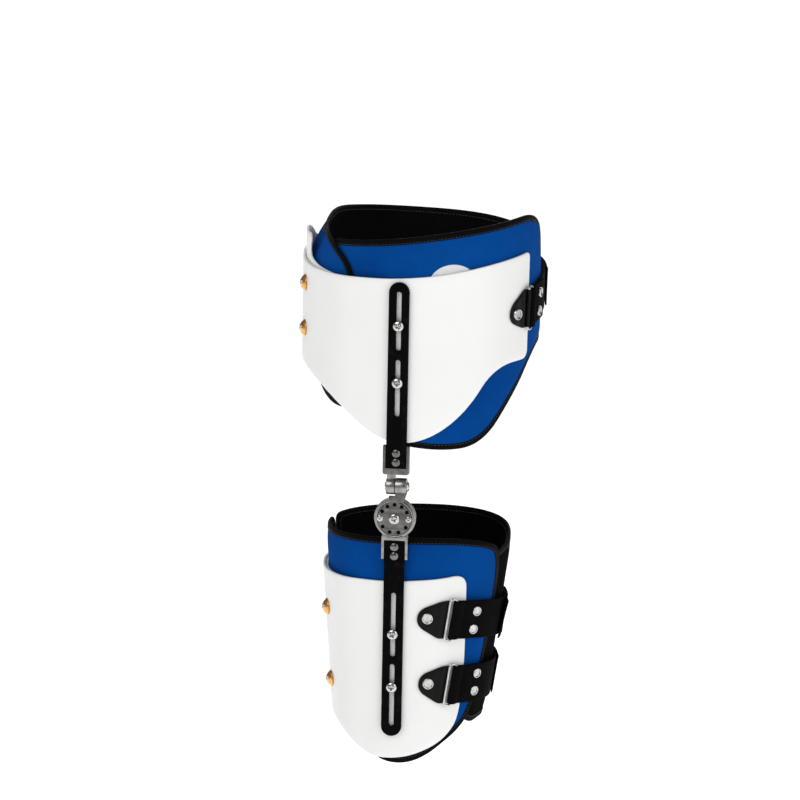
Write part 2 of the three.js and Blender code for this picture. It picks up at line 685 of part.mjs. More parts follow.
function buildPelvis() {
  const scale = PELVIS.millimetresPerDegree;
  const farFace = PELVIS_FAR_SHELL.inner + PELVIS_FAR_SHELL.thick;
  const backFace = pelvisShellOuter(PELVIS_BACK_SCREWS.at);
  const backHoles = addBackScrews('pelvic', PELVIS, PELVIS_BACK_SCREWS, backFace, PELVIS_FAR_SHELL.inner);
  const tabHole = addClosure({
    prefix: 'pelvic', suffix: '', wall: PELVIS, z: 11.5, ringAt: 45.2, edge: 42.2, farEdge: -42, farAt: -47,
    near: PELVIS_FACE, pad: PELVIS_PAD, far: farFace, lapEnd: 26, flapEnd: 4, tabSize: 0.73, lobe: -4,
    drop: -6, levelFrom: 15, flare: 0.5, rivets: [{ at: 32, up: 9.5 }, { at: 33, up: -10 }],
  });
  const barHoles = barScrewHoles(UPPER_BAR.screws);
  const shell = wallSolid(PELVIS, roundedOutline(pelvicShellRows, scale), pelvisShellInner, pelvisShellOuter);
  addMesh(brace, 'pelvic_shell', drilled(shell, [...backHoles, ...barHoles, tabHole]), WHITE_PLASTIC);
  const farOutline = roundedOutline(pelvicFarShellRows, scale);
  const farShell = wallSolid(PELVIS, farOutline, () => PELVIS_FAR_SHELL.inner, () => farFace);
  addMesh(brace, 'pelvic_shell_far', drilled(farShell, backHoles), WHITE_PLASTIC);
  const nearFaces = [leaning(() => 0), leaning(pelvisPadOuter)];
  addPad('pelvic_pad', 'pelvic_binding', PELVIS, pelvicPadRows, ...nearFaces, PAD_LEVELS.plain);
  const farFaces = [leaning(pelvisFarPadInner), leaning(() => PELVIS_PAD)];
  addPad('pelvic_pad_far', 'pelvic_binding_far', PELVIS, pelvicFarPadRows, ...farFaces, PAD_LEVELS.leaning);
}

// Side bar and hinge

function roundedRectangle(x0, x1, y0, y1, radius) {
  const shape = new THREE.Shape();
  shape.moveTo(x0 + radius, y0);
  shape.lineTo(x1 - radius, y0);
  shape.absarc(x1 - radius, y0 + radius, radius, -Math.PI / 2, 0);
  shape.absarc(x1 - radius, y1 - radius, radius, 0, Math.PI / 2);
  shape.absarc(x0 + radius, y1 - radius, radius, Math.PI / 2, Math.PI);
  shape.absarc(x0 + radius, y0 + radius, radius, Math.PI, Math.PI * 1.5);
  return shape;
}

function barSolid({ low, high, slots, rivets }) {
  const half = BAR.width / 2;
  const squareEnd = rivets[0] > 0 ? [low, low + 2 * BAR.endRadius] : [high - 2 * BAR.endRadius, high];
  const shape = roundedRectangle(-half, half, low, high, BAR.endRadius);
  const whole = joined([plate(shape, 0, BAR.thick), block(-half, half, ...squareEnd, 0, BAR.thick)]);
  const cutters = slots.map(([from, to]) => {
    const slot = roundedRectangle(-BAR.slot / 2, BAR.slot / 2, from, to, BAR.slot / 2 - 0.01);
    return plate(slot, -1, BAR.thick + 1);
  });
  const bore = BAR_RIVET.shank + GAP;
  const rivetHoles = rivets.map((y) => rodAlongZ(bore, -1, BAR.thick + 1, HOLE_SIDES).translate(0, y, 0));
  return drilled(whole, [...cutters, ...rivetHoles]);
}

// The channel that holds a bar's end: back plate, two side walls and a floor
function channelSolids(y0, y1, floor0, floor1, rim) {
  const inside = BAR.width / 2 + GAP;
  const outside = inside + BRACKET.wall;
  const back = -GAP - BRACKET.plate;
  return [
    block(-outside, outside, y0, y1, back, -GAP),
    block(-outside, -inside, y0, y1, back, rim),
    block(inside, outside, y0, y1, back, rim),
    block(-outside, outside, floor0, floor1, back, rim),
  ];
}

function rodAlongX(radius, x0, x1, sides) {
  const rod = rodAlongZ(radius, x0, x1, sides).rotateY(Math.PI / 2);
  return rod.translate(0, KNUCKLE.y, KNUCKLE.z);
}

function rivetHolesInPlate(heights) {
  const bore = BAR_RIVET.shank + GAP;
  return heights.map((y) => rodAlongZ(bore, -8, 2, HOLE_SIDES).translate(0, y, 0));
}

function upperBracketSolid() {
  const floorLow = UPPER_BAR.low - GAP - BRACKET.floor;
  const channel = channelSolids(floorLow, BRACKET.topY, floorLow, floorLow + BRACKET.floor, BRACKET.rim);
  const lug = rodAlongX(KNUCKLE.radius, KNUCKLE.leftEnd, -0.2, 20);
  const web = block(KNUCKLE.leftEnd, -0.2, KNUCKLE.y, floorLow + 1, -GAP - BRACKET.plate, BRACKET.rim);
  const pinHole = rodAlongX(KNUCKLE.pin + GAP, -40, 40, 12);
  return drilled(joined([...channel, lug, web]), [pinHole, ...rivetHolesInPlate(UPPER_BAR.rivets)]);
}

function dialHoleAngles() {
  const upper = [];
  for (let angle = 0; angle <= 180; angle += DIAL_HOLES.upperStep) upper.push(angle);
  const { lowerFrom, lowerStep, lowerCount } = DIAL_HOLES;
  const lower = Array.from({ length: lowerCount }, (_, i) => lowerFrom + i * lowerStep);
  return [...upper, ...lower];
}

function dialPlace(angle) {
  const { circle } = DIAL_HOLES;
  return [circle * Math.cos(angle * DEGREE), circle * Math.sin(angle * DEGREE)];
}

function dialHeadSolid() {
  const face = rodAlongZ(DIAL.frontRadius, DIAL.frontLow, DIAL.frontHigh, 24);
  const holes = dialHoleAngles().map((angle) => {
    const [x, y] = dialPlace(angle);
    return rodAlongZ(DIAL_HOLES.radius, -20, 20, HOLE_SIDES).translate(x, y, 0);
  });
  const bore = rodAlongZ(DIAL_BORE, -20, 20, 12);
  const neck = new THREE.Shape();
  neck.moveTo(-7, 18);
  neck.lineTo(9.5, 18);
  neck.lineTo(KNUCKLE.rightEnd, 27);
  neck.lineTo(KNUCKLE.rightEnd, KNUCKLE.y);
  neck.lineTo(0.2, KNUCKLE.y);
  neck.lineTo(0.2, 24.6);
  neck.lineTo(-6.4, 24.6);
  const neckPlate = plate(neck, DIAL.frontLow, DIAL.frontHigh);
  const lug = rodAlongX(KNUCKLE.radius, 0.2, KNUCKLE.rightEnd, 20);
  const pinHole = rodAlongX(KNUCKLE.pin + GAP, -40, 40, 12);
  return drilled(joined([face, neckPlate, lug]), [pinHole, bore, ...holes]);
}

function lowerBracketSolid() {
  const floorLow = LOWER_BAR.high + GAP;
  const floorHigh = floorLow + 6;
  const channel = channelSolids(LOWER_BRACKET.bottomY, floorHigh, floorLow, floorHigh, LOWER_BRACKET.rim);
  const rear = rodAlongZ(DIAL.rearRadius, DIAL.rearLow, DIAL.rearHigh, 24);
  const bore = rodAlongZ(DIAL_BORE, -20, 20, 12);
  return drilled(joined([...channel, rear]), [bore, ...rivetHolesInPlate(LOWER_BAR.rivets)]);
}

// The abduction pin, with a round head at each end
function hingePinSolid() {
  const { pin, leftEnd, rightEnd } = KNUCKLE;
  const left = leftEnd - GAP;
  const right = rightEnd + GAP;
  const profile = [
    [0, left - 1.6], [3.4, left - 1.4], [4.6, left], [pin, left], [pin, right],
    [5.4, right], [4.6, right + 1.6], [2.4, right + 2.5], [0, right + 2.7],
  ];
  return turned(profile, 10).rotateY(Math.PI / 2).translate(0, KNUCKLE.y, KNUCKLE.z);
}

function addBarSide(prefix, bar) {
  addMesh(hingeFrame, `${prefix}_bar`, barSolid(bar), BLACK_METAL);
  const face = BAR.thick + GAP;
  const screwTip = -GAP - PELVIS_SHELL.thick + 0.05;
  const rivetTip = -GAP - BRACKET.plate;
  bar.screws.forEach((y, i) => {
    addFastener(hingeFrame, `${prefix}_bar_screw_${i + 1}`, PAN_SCREW, hingePlace(0, y), face, screwTip);
  });
  bar.rivets.forEach((y, i) => {
    addFastener(hingeFrame, `${prefix}_rivet_${i + 1}`, BAR_RIVET, hingePlace(0, y), face, rivetTip);
  });
}

function buildHinge() {
  addBarSide('upper', UPPER_BAR);
  addBarSide('lower', LOWER_BAR);
  addMesh(hingeFrame, 'upper_bracket', upperBracketSolid(), STEEL);
  addMesh(hingeFrame, 'hinge_pin', hingePinSolid(), BRIGHT_STEEL);
  addMesh(hingeFrame, 'dial_head', dialHeadSolid(), STEEL);
  addMesh(hingeFrame, 'lower_bracket', lowerBracketSolid(), STEEL);
  const face = DIAL.frontHigh + GAP;
  addFastener(hingeFrame, 'dial_screw', CENTRE_SCREW, hingePlace(0, 0), face, DIAL.rearLow, 16);
  [0, 180].forEach((angle, i) => {
    const place = hingePlace(...dialPlace(angle));
    addFastener(hingeFrame, `stop_screw_${i + 1}`, STOP_SCREW, place, face, DIAL.frontLow + GAP);
  });
}

// Thigh cuff

const THIGH_LAPS = { shell: [124, 140], pad: [66, 54], innerPad: [372, 386] };
const thighShellInner = (at) => THIGH_SHELL.inner + THIGH_SHELL.lift * ramp(at, ...THIGH_LAPS.shell);
const thighShellOuter = (at) => thighShellInner(at) + THIGH_SHELL.thick;
const TONGUE = 2.5; // thickness of the inner pad's front end, under the side pad
const thighPadInner = (at) => (TONGUE + LAP_GAP) * ramp(at, ...THIGH_LAPS.pad);
const thighInnerPadOuter = (at) => THIGH_PAD - (THIGH_PAD - TONGUE) * ramp(at, ...THIGH_LAPS.innerPad);

const thighShellRows = [
  corner(51.5, -425, FULL), corner(62, -457, FULL), corner(86, -475.5, FULL), corner(108, -480, FULL),
  corner(125, -477, FULL), corner(150, -447, FULL), corner(205, -430, 10), corner(205, -282, 10),
  corner(120, -282.5, FULL), corner(78, -279, FULL), corner(59, -272.5, 15),
];
const thighInnerShellRows = [
  corner(146, -432, 8), corner(250, -446, FULL), corner(325, -450, 14), corner(325, -292, 14),
  corner(250, -284, FULL), corner(146, -284, 8),
];
const thighPadRows = [
  corner(36.5, -428, FULL), corner(58, -459, FULL), corner(80, -481.5, FULL), corner(100, -487.5, FULL),
  corner(120, -481, FULL), corner(146, -442, FULL), corner(200, -434, 10), corner(200, -240, 10),
  corner(100, -233, FULL), corner(50, -235, FULL), corner(25, -258, FULL),
];
const thighInnerPadRows = [
  corner(204, -440, 10), corner(300, -462, FULL), corner(360, -444, FULL), corner(412, -449, 40),
  corner(412, -266, 24), corner(360, -244, FULL), corner(300, -238, FULL), corner(204, -240, 10),
];
const thighClosures = [
  {
    suffix: '_1', z: -322.7, ringAt: 70.3, edge: 56.4, lapEnd: 42, flapEnd: 23, drop: 13, flare: 3,
    rivets: [{ at: 51.2, up: 9.5 }, { at: 51.8, up: -10.5 }],
  },
  {
    suffix: '_2', z: -395.5, ringAt: 67, edge: 53.6, lapEnd: 36, flapEnd: 4, drop: 8, flare: 0.5,
    rivets: [{ at: 45.1, up: 11 }, { at: 45.2, up: -8.5 }],
  },
];

function buildThigh() {
  const scale = THIGH.millimetresPerDegree;
  const farFace = THIGH_INNER_SHELL.inner + THIGH_INNER_SHELL.thick;
  const backFace = thighShellOuter(THIGH_BACK_SCREWS.at);
  const backHoles = addBackScrews('thigh', THIGH, THIGH_BACK_SCREWS, backFace, THIGH_INNER_SHELL.inner);
  const tabHoles = thighClosures.map((row) => addClosure({
    ...row, prefix: 'thigh', wall: THIGH, farEdge: -35, farAt: -43,
    near: THIGH_FACE, pad: THIGH_PAD, far: farFace, tabSize: 0.92, lobe: 2, levelFrom: -10,
  }));
  const barHoles = barScrewHoles(LOWER_BAR.screws);
  const shell = wallSolid(THIGH, roundedOutline(thighShellRows, scale), thighShellInner, thighShellOuter);
  addMesh(brace, 'thigh_shell', drilled(shell, [...backHoles, ...barHoles, ...tabHoles]), WHITE_PLASTIC);
  const innerOutline = roundedOutline(thighInnerShellRows, scale);
  const innerShell = wallSolid(THIGH, innerOutline, () => THIGH_INNER_SHELL.inner, () => farFace);
  addMesh(brace, 'thigh_shell_inner', drilled(innerShell, backHoles), WHITE_PLASTIC);
  const sideFaces = [thighPadInner, () => THIGH_PAD];
  addPad('thigh_pad', 'thigh_binding', THIGH, thighPadRows, ...sideFaces, PAD_LEVELS.plain);
  const innerFaces = [() => 0, thighInnerPadOuter];
  addPad('thigh_pad_inner', 'thigh_binding_inner', THIGH, thighInnerPadRows, ...innerFaces, PAD_LEVELS.plain);
}

buildPelvis();
buildHinge();
buildThigh();

export default brace;
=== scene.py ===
"""Looks of a right-side hip brace: padded wraps, plastic shells, straps, and a side bar with a dial hinge."""

import math

import bmesh
import bpy
import numpy as np
from mathutils import Matrix, Vector, geometry


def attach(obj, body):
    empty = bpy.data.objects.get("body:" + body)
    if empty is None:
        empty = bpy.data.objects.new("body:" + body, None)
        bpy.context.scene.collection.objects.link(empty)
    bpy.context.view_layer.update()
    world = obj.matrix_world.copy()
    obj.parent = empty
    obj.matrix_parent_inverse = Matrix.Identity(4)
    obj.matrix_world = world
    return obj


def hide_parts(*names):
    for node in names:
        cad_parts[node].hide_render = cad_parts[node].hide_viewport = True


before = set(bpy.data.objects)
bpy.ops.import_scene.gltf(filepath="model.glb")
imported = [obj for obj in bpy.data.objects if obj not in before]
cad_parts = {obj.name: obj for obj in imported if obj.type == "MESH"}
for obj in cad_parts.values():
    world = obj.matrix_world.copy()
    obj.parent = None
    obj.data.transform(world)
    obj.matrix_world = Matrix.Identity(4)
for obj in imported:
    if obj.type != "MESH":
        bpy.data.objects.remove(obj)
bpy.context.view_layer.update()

MM = 0.001

# Sections of the wrap and the cuff, in millimetres, as in the solids
FACING = math.radians(8)
SQUARENESS = 2.4
PELVIS_FRONT = 120.5
PELVIS_SIDE = 152
THIGH_TOP = {"z": -235, "front": 96.9, "side": 89.4}
THIGH_LOW = {"z": -485, "front": 70, "side": 70}
DIAL_Z = -210
GAP = 0.3

# Thicknesses, outward from the pads' inner face
PELVIS_PAD = 7
PELVIS_SHELL = {"inner": 7.4, "thick": 3, "lift": 2.8}
PELVIS_FAR_SHELL = {"inner": 7.4, "thick": 2.4}
THIGH_PAD = 6
THIGH_SHELL = {"inner": 6.4, "thick": 3, "lift": 2.8}
THIGH_INNER_SHELL = {"inner": 6.4, "thick": 2.4}
LAP_THIN = 3
LAP_GAP = 1.1
WAIST = {"lean": 26, "heights": (36, 112), "start": (120, 165), "end": (300, 250)}
TONGUE = 2.5
TONGUE_FROM = 345
PELVIS_LAPS = {"shell": (112, 126), "pad": (98, 116), "far_pad": (172, 156), "pinned": (96, 106)}
THIGH_LAPS = {"shell": (124, 140), "pad": (66, 54), "inner_pad": (372, 386), "pinned": (368, 376)}

# Finish of edges and pads
SHELL_EDGE = 1.1
SHELL_SPACING = 6
PAD_SPACING = 4.5
OUTLINE_STEP = 2.4
TAPE_WIDTH = 7
TAPE_THICK = 0.55
PAD_TUCK = 2.4
PAD_EDGE = {"share": 0.72, "back": 0.13, "start": 0.8 * TAPE_WIDTH, "curve": 2.2}
CREASE = 35
PAD_CROWN = 17
SWELL_LIMIT = 1.7
SWELL_PRESSURE = 4
SWELL_FRAMES = 20
STITCH = {"every": 3.8, "length": 2.5, "radius": 0.33, "across": 0.78, "lift": 1.1}
NEAR_BLACK = (0.0012, 0.0012, 0.0014)

# Side bar and hinge, in the hinge's own frame: x across, y up from the dial's centre, z outward
BAR = {"width": 22, "thick": 4, "end": 10.9, "slot": 5.4, "bevel": 0.5}
UPPER_BAR = {
    "low": 55, "high": 257, "slots": [(183, 247), (111, 173)], "screws": [210, 148], "rivets": [71, 61],
}
LOWER_BAR = {
    "low": -243, "high": -25.5, "slots": [(-154.5, -83), (-232, -162.5)], "screws": [-129, -188],
    "rivets": [-32, -42],
}
BRACKET = {"inside": 11.3, "outside": 14.3, "back": -2.3, "corner": 2.2}
UPPER_BRACKET = {"low": 47.7, "floor": 54.7, "high": 79, "rim": 5}
LOWER_BRACKET = {"low": -46, "floor": -25.2, "high": -19.2, "rim": 3.5}
KNUCKLE = {"y": 35, "z": 3, "radius": 9, "left": -9.8, "right": 12.4, "gap": 0.2}
PIN = {"radius": 3, "foot": 4.6, "head": 5.4, "dome": 2.7}
NECK = {"low": 17.5, "ledge": 24.6, "shoulder": 27}
DIAL = {
    "rear_radius": 22.7, "rear": (-1.5, 3.5), "radius": 20.3, "front": (3.9, 8), "face_radius": 18.5,
    "groove": 0.5, "step": 0.5,
}
DIAL_HOLES = {
    "circle": 15.5, "radius": 2.05, "depth": 2.6, "angles": [30, 60, 90, 120, 150, 216, 252, 288, 324],
}

# Fasteners: the head's radius and height, with the share of its recess or flange, the shank's radius and
# lower end, and the turn of the first one
PAN_SCREW = {"head": (6, 4.2, 0.5), "shank": (2.4, -3), "turn": 0.5}
CENTRE_SCREW = {"head": (5.9, 3.2, 0.5), "shank": (3, -1.5), "turn": 0.35}
STOP_SCREW = {"head": (3.4, 1.6, 0.55), "shank": (1.4, DIAL["front"][0] + GAP), "turn": 0.7}
BAR_RIVET = {"head": (4.8, 2.2, 0.3), "shank": (2.4, -2.3)}
TAB_RIVET = {"head": (6.3, 2.6), "shank": (2.2, -5)}
STRAP_RIVET = {"head": (5.6, 2), "shank": (1.8, -4.4)}
BACK_SCREW = {"head": (4.4, 2.4, 0.6), "shank": (2.8, -5.6)}
RIVET_SHANK_TOP = 1
CUP = {"base": 9, "top": 5.4, "height": 4.8}
PELVIS_BACK_SCREWS = {"at": 157, "heights": [25, -25]}
THIGH_BACK_SCREWS = {"at": 162, "heights": [-325.5, -405.5]}

# Closures
TAB = {"thick": 2.5, "length": 33, "tail": 2, "straight": 6.5, "narrow": 8.5, "rivet": 21.5, "ridge": 0.9}
STRAP = {"thick": 2, "width": 42, "layer": 2.4, "rest": 3, "slope": 8}
RING = {"wire": 1.3, "reach": 8, "corner": 3, "room": 0.7}
FOLD = 3.3
FLAP_LEAN = 0.75
FLAP_SAG = 1.2
LOOP = {"bar": 2.6, "rise": 4.9, "leg": 4, "foot": 3, "foot_height": 2}
PATCH = {"at": 79.3, "z": 42.5, "radius": 23.5, "thick": 0.22}

# Stage: the photograph's viewing angle, and each light's way from the middle as (right, up, back)
VIEW = {"azimuth": 8, "elevation": 12, "roll": 1.1, "distance": 5.0, "scale": 1.073 * MM}
VIEW_TARGET = Vector((-5 * MM, -170 * MM, -210 * MM))
TARGET_PIXEL = (394.2, 518.6)
FRAME_SIZE = 800
SENSOR = 36
FLOOR = {"size": 60, "z": -0.95, "glow": 0.86}
WORLD_LIGHT = 0.22
STUDIO_MIDDLE = Vector((0, 0, -0.1))
LIGHTS = {
    "key": {"way": (-1.3, 1.5, 2.2), "size": 1.8, "power": 36},
    "fill": {"way": (1.9, 0.4, 2.0), "size": 2.0, "power": 25},
    "rim": {"way": (0.4, 1.8, -1.6), "size": 1.4, "power": 18},
}

# Outlines by their corners: degrees round, height, and the reach of a rounding that isn't a full one
PELVIC_SHELL_ROWS = [
    (42.2, -44, 10), (62, -46), (73, -92), (85.5, -121), (98, -131), (110, -121), (128, -83), (150, -63),
    (197, -60, 10), (197, 50, 10), (125, 47.5), (90, 51), (62, 66), (41.6, 72, 7),
]
PELVIC_FAR_SHELL_ROWS = [
    (128, -54, 8), (165, -54), (250, -60), (318, -38, 12), (318, 50, 12), (250, 48), (214, 50), (200, 74),
    (172, 77), (151, 82), (156, 58), (146, 51.5), (128, 47, 6),
]
PELVIC_PAD_ROWS = [
    (2, -44, 24), (30, -38), (50, -82), (66, -133), (84, -138), (104, -130), (116, -97), (134, -100),
    (154, -66), (150, -20), (136, 82, 10), (100, 92), (58, 109), (33, 111.5), (9, 79),
]
PELVIC_FAR_PAD_ROWS = [
    (119, -74, 10), (165, -64), (250, -72), (325, -50, 16), (325, 66, 30), (250, 80), (208, 92), (174, 78),
    (150, 90), (131, 81), (118.5, 54, 30),
]
THIGH_SHELL_ROWS = [
    (51.5, -425), (62, -457), (86, -475.5), (108, -480), (125, -477), (150, -447), (205, -430, 10),
    (205, -282, 10), (120, -282.5), (78, -279), (59, -272.5, 15),
]
THIGH_INNER_SHELL_ROWS = [
    (146, -432, 8), (250, -446), (325, -450, 14), (325, -292, 14), (250, -284), (146, -284, 8),
]
THIGH_PAD_ROWS = [
    (36.5, -428), (58, -459), (80, -481.5), (100, -487.5), (120, -481), (146, -442), (200, -434, 10),
    (200, -240, 10), (100, -233), (50, -235), (25, -258),
]
THIGH_INNER_PAD_ROWS = [
    (204, -440, 10), (300, -462), (360, -444), (412, -449, 40), (412, -266, 24), (360, -244), (300, -238),
    (204, -240, 10),
]


# Wall geometry


def ramp(value, start, end):
    share = np.clip((value - start) / (end - start), 0, 1)
    return share * share * (3 - 2 * share)


def section_radius(angle, front, side):
    ahead = np.abs(np.cos(angle) / front) ** SQUARENESS
    aside = np.abs(np.sin(angle) / side) ** SQUARENESS
    return (ahead + aside) ** (-1 / SQUARENESS)


def plan_point(ahead, aside):
    x = ahead * math.cos(FACING) + aside * math.sin(FACING)
    y = ahead * math.sin(FACING) - aside * math.cos(FACING)
    return x, y


def bar_point(front, side):
    """The point of a section whose face looks straight along -Y, where the side bar lies."""
    slant = (math.tan(FACING) * (front / side) ** SQUARENESS) ** (1 / (SQUARENESS - 1))
    angle = np.arctan2(1, -slant)
    radius = section_radius(angle, front, side)
    return plan_point(radius * np.cos(angle), radius * np.sin(angle))


PELVIS_FACE = PELVIS_SHELL["inner"] + PELVIS_SHELL["thick"]
THIGH_FACE = THIGH_SHELL["inner"] + THIGH_SHELL["thick"]
BAR_X, BAR_Y = bar_point(PELVIS_FRONT + PELVIS_FACE, PELVIS_SIDE + PELVIS_FACE)


def pelvis_section(z):
    return 0, 0, PELVIS_FRONT, PELVIS_SIDE


def thigh_section(z):
    share = np.clip((z - THIGH_LOW["z"]) / (THIGH_TOP["z"] - THIGH_LOW["z"]), 0, 1)
    front = THIGH_LOW["front"] + (THIGH_TOP["front"] - THIGH_LOW["front"]) * share
    side = THIGH_LOW["side"] + (THIGH_TOP["side"] - THIGH_LOW["side"]) * share
    x, y = bar_point(front + THIGH_FACE, side + THIGH_FACE)
    return BAR_X - x, BAR_Y - y, front, side


class Wall:
    """A section and the millimetres in one degree round it."""

    def __init__(self, section, scale):
        self.section = section
        self.scale = scale

    def points(self, at, z, depth):
        """Points in metres: degrees round from the front towards the right hip, height, depth outward."""
        at, z, depth = np.broadcast_arrays(*(np.asarray(value, float) for value in (at, z, depth)))
        x, y, front, side = self.section(z)
        angle = np.radians(at)
        radius = section_radius(angle, front + depth, side + depth)
        plan_x, plan_y = plan_point(radius * np.cos(angle), radius * np.sin(angle))
        return np.stack([x + plan_x, y + plan_y, z], -1) * MM

    def lay(self, flat, depth):
        """Points in metres from rows of millimetres round and height."""
        return self.points(flat[:, 0] / self.scale, flat[:, 1], depth)

    def frame(self, at, z, depth):
        """A placing in metres whose z points outward and whose y points up along the wall."""
        along = Vector(self.points(at + 1, z, depth) - self.points(at - 1, z, depth))
        up = Vector(self.points(at, z + 1, depth) - self.points(at, z - 1, depth)).normalized()
        out = up.cross(along).normalized()
        right = up.cross(out).normalized()
        turn = Matrix((right, up, out)).transposed().to_4x4()
        return Matrix.Translation(Vector(self.points(at, z, depth))) @ turn @ Matrix.Scale(MM, 4)


PELVIS = Wall(pelvis_section, 2.45)
THIGH = Wall(thigh_section, 1.58)
DIAL_CENTRE = Vector((BAR_X, BAR_Y - GAP, DIAL_Z)) * MM
HINGE = Matrix.Translation(DIAL_CENTRE) @ Matrix.Rotation(math.pi / 2, 4, "X") @ Matrix.Scale(MM, 4)


# Flat outlines


def unit(vectors):
    return vectors / np.maximum(np.linalg.norm(vectors, axis=-1, keepdims=True), 1e-9)


def travelled(path):
    """How far along a path each of its points lies."""
    return np.concatenate([[0], np.cumsum(np.linalg.norm(np.diff(path, axis=0), axis=1))])


def evenly(line, step):
    """The same closed line with points about one step apart."""
    path = np.vstack([line, line[:1]])
    reached = travelled(path)
    count = max(int(math.ceil(reached[-1] / step)), 2)
    places = np.linspace(0, reached[-1], count + 1)[:-1]
    return np.stack([np.interp(places, reached, path[:, k]) for k in range(path.shape[1])], 1)


def rounded_outline(rows, scale, step=OUTLINE_STEP):
    """A closed line round the corner rows of an outline."""
    corners = np.array([(at * scale, z) for at, z, *_ in rows], float)
    share = np.linspace(0, 1, 9)[:, None]
    stretches = []
    for i, (_, _, *given) in enumerate(rows):
        reach = given[0] if given else math.inf
        here = corners[i]
        ends = []
        for other in (corners[i - 1], corners[(i + 1) % len(rows)]):
            ends.append(here + (other - here) * min(reach / np.linalg.norm(other - here), 0.5))
        stretches.append((1 - share) ** 2 * ends[0] + 2 * share * (1 - share) * here + share**2 * ends[1])
    return evenly(np.vstack(stretches), step)


def inset(line, distance):
    """The line moved inward, less where a tight bend leaves no room."""
    before = line - np.roll(line, 1, 0)
    after = np.roll(line, -1, 0) - line
    along = unit(unit(before) + unit(after))
    inward = np.stack([-along[:, 1], along[:, 0]], 1)
    a, b = unit(before), unit(after)
    turn = a[:, 0] * b[:, 1] - a[:, 1] * b[:, 0]
    radius = np.linalg.norm(before + after, axis=1) / 2 / np.maximum(turn, 1e-6)
    room = np.min([np.roll(radius, k) for k in (-2, -1, 0, 1, 2)], axis=0) * 0.85
    return line + inward * np.minimum(distance, room)[:, None]


def edge_distance(line, points):
    """Distance of each point from a closed line."""
    step = np.roll(line, -1, 0) - line
    length = np.maximum((step**2).sum(1), 1e-9)
    best = np.full(len(points), np.inf)
    for first in range(0, len(points), 2000):
        some = points[first : first + 2000]
        offset = some[:, None, :] - line[None]
        share = np.clip((offset * step[None]).sum(2) / length, 0, 1)
        gap = offset - share[..., None] * step[None]
        best[first : first + 2000] = np.sqrt((gap**2).sum(2)).min(1)
    return best


def inside(line, points):
    """Whether each point lies within a closed line."""
    x, y = points[:, 0:1], points[:, 1:2]
    ax, ay = line[:, 0], line[:, 1]
    bx, by = np.roll(ax, -1), np.roll(ay, -1)
    crosses = (ay > y) != (by > y)
    reach = ax + (y - ay) / np.where(by == ay, 1e-9, by - ay) * (bx - ax)
    return ((crosses & (x < reach)).sum(1) % 2) == 1


def fill(outline, spacing):
    """Triangles inside an outline, over a staggered grid. The outline's points come first."""
    low, high = outline.min(0), outline.max(0)
    rows = np.arange(low[1] + spacing / 2, high[1], spacing * 0.866)
    grid = []
    for i, z in enumerate(rows):
        xs = np.arange(low[0] + spacing / 2 * (i % 2), high[0], spacing)
        grid.append(np.stack([xs, np.full(len(xs), z)], 1))
    grid = np.vstack(grid)
    grid = grid[inside(outline, grid)]
    grid = grid[edge_distance(outline, grid) > 0.55 * spacing]
    points = np.vstack([outline, grid])
    count = len(outline)
    edges = [(i, (i + 1) % count) for i in range(count)]
    flat = geometry.delaunay_2d_cdt([Vector(p) for p in points], edges, [], 1, 1e-6)
    source = [rows[0] for rows in flat[3]]
    return points, [tuple(source[k] for k in face) for face in flat[2]]


# Pieces


def skin(starts, count, closed=True):
    """Faces between each ring of points and the next; starts holds the rings' first indices."""
    faces = []
    for first, second in zip(starts, starts[1:]):
        for k in range(count if closed else count - 1):
            m = (k + 1) % count
            faces.append((first + k, first + m, second + m, second + k))
    return faces


def capped(starts, count):
    """The same faces with a cap over the first and the last ring."""
    caps = [tuple(range(start, start + count)) for start in (starts[0], starts[-1])]
    return skin(starts, count) + caps


def put(name, data):
    """A new object in the scene."""
    thing = bpy.data.objects.new(name, data)
    bpy.context.scene.collection.objects.link(thing)
    return thing


def set_uv(mesh, uv):
    layer = mesh.uv_layers.new(name="flat")
    corners = np.empty(len(mesh.loops), dtype=np.int32)
    mesh.loops.foreach_get("vertex_index", corners)
    layer.data.foreach_set("uv", (np.asarray(uv, float)[corners] * MM).ravel())


def outward(mesh, weld=0.0):
    """Turns a mesh's faces outward, after joining points closer than weld."""
    work = bmesh.new()
    work.from_mesh(mesh)
    if weld:
        bmesh.ops.remove_doubles(work, verts=work.verts, dist=weld)
    bmesh.ops.recalc_face_normals(work, faces=work.faces)
    work.to_mesh(mesh)
    work.free()


def make_mesh(name, points, faces, uv=None, slots=None, crease=None):
    """A smooth mesh from points in metres. uv is in millimetres; slots is a material index for each face."""
    mesh = bpy.data.meshes.new(name)
    mesh.from_pydata(np.asarray(points, float).tolist(), [], [tuple(int(k) for k in face) for face in faces])
    if uv is not None:
        set_uv(mesh, uv)
    if slots is not None:
        mesh.polygons.foreach_set("material_index", np.asarray(slots, dtype=np.int32))
    mesh.polygons.foreach_set("use_smooth", np.ones(len(mesh.polygons), dtype=bool))
    outward(mesh)
    if crease is not None:
        mesh.set_sharp_from_angle(angle=math.radians(crease))
    return mesh


def add_piece(node, mesh, materials, body):
    """A piece in a solid's place, with the given materials in its slots."""
    piece = put("look_" + node, mesh)
    for material in materials:
        mesh.materials.append(material)
    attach(piece, body)
    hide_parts(node)
    return piece


def with_slot(part, slot):
    """A part as a mesh whose faces all take one material slot."""
    mesh = part if isinstance(part, bpy.types.Mesh) else make_mesh("part", *part)
    mesh.polygons.foreach_set("material_index", np.full(len(mesh.polygons), slot, dtype=np.int32))
    return mesh


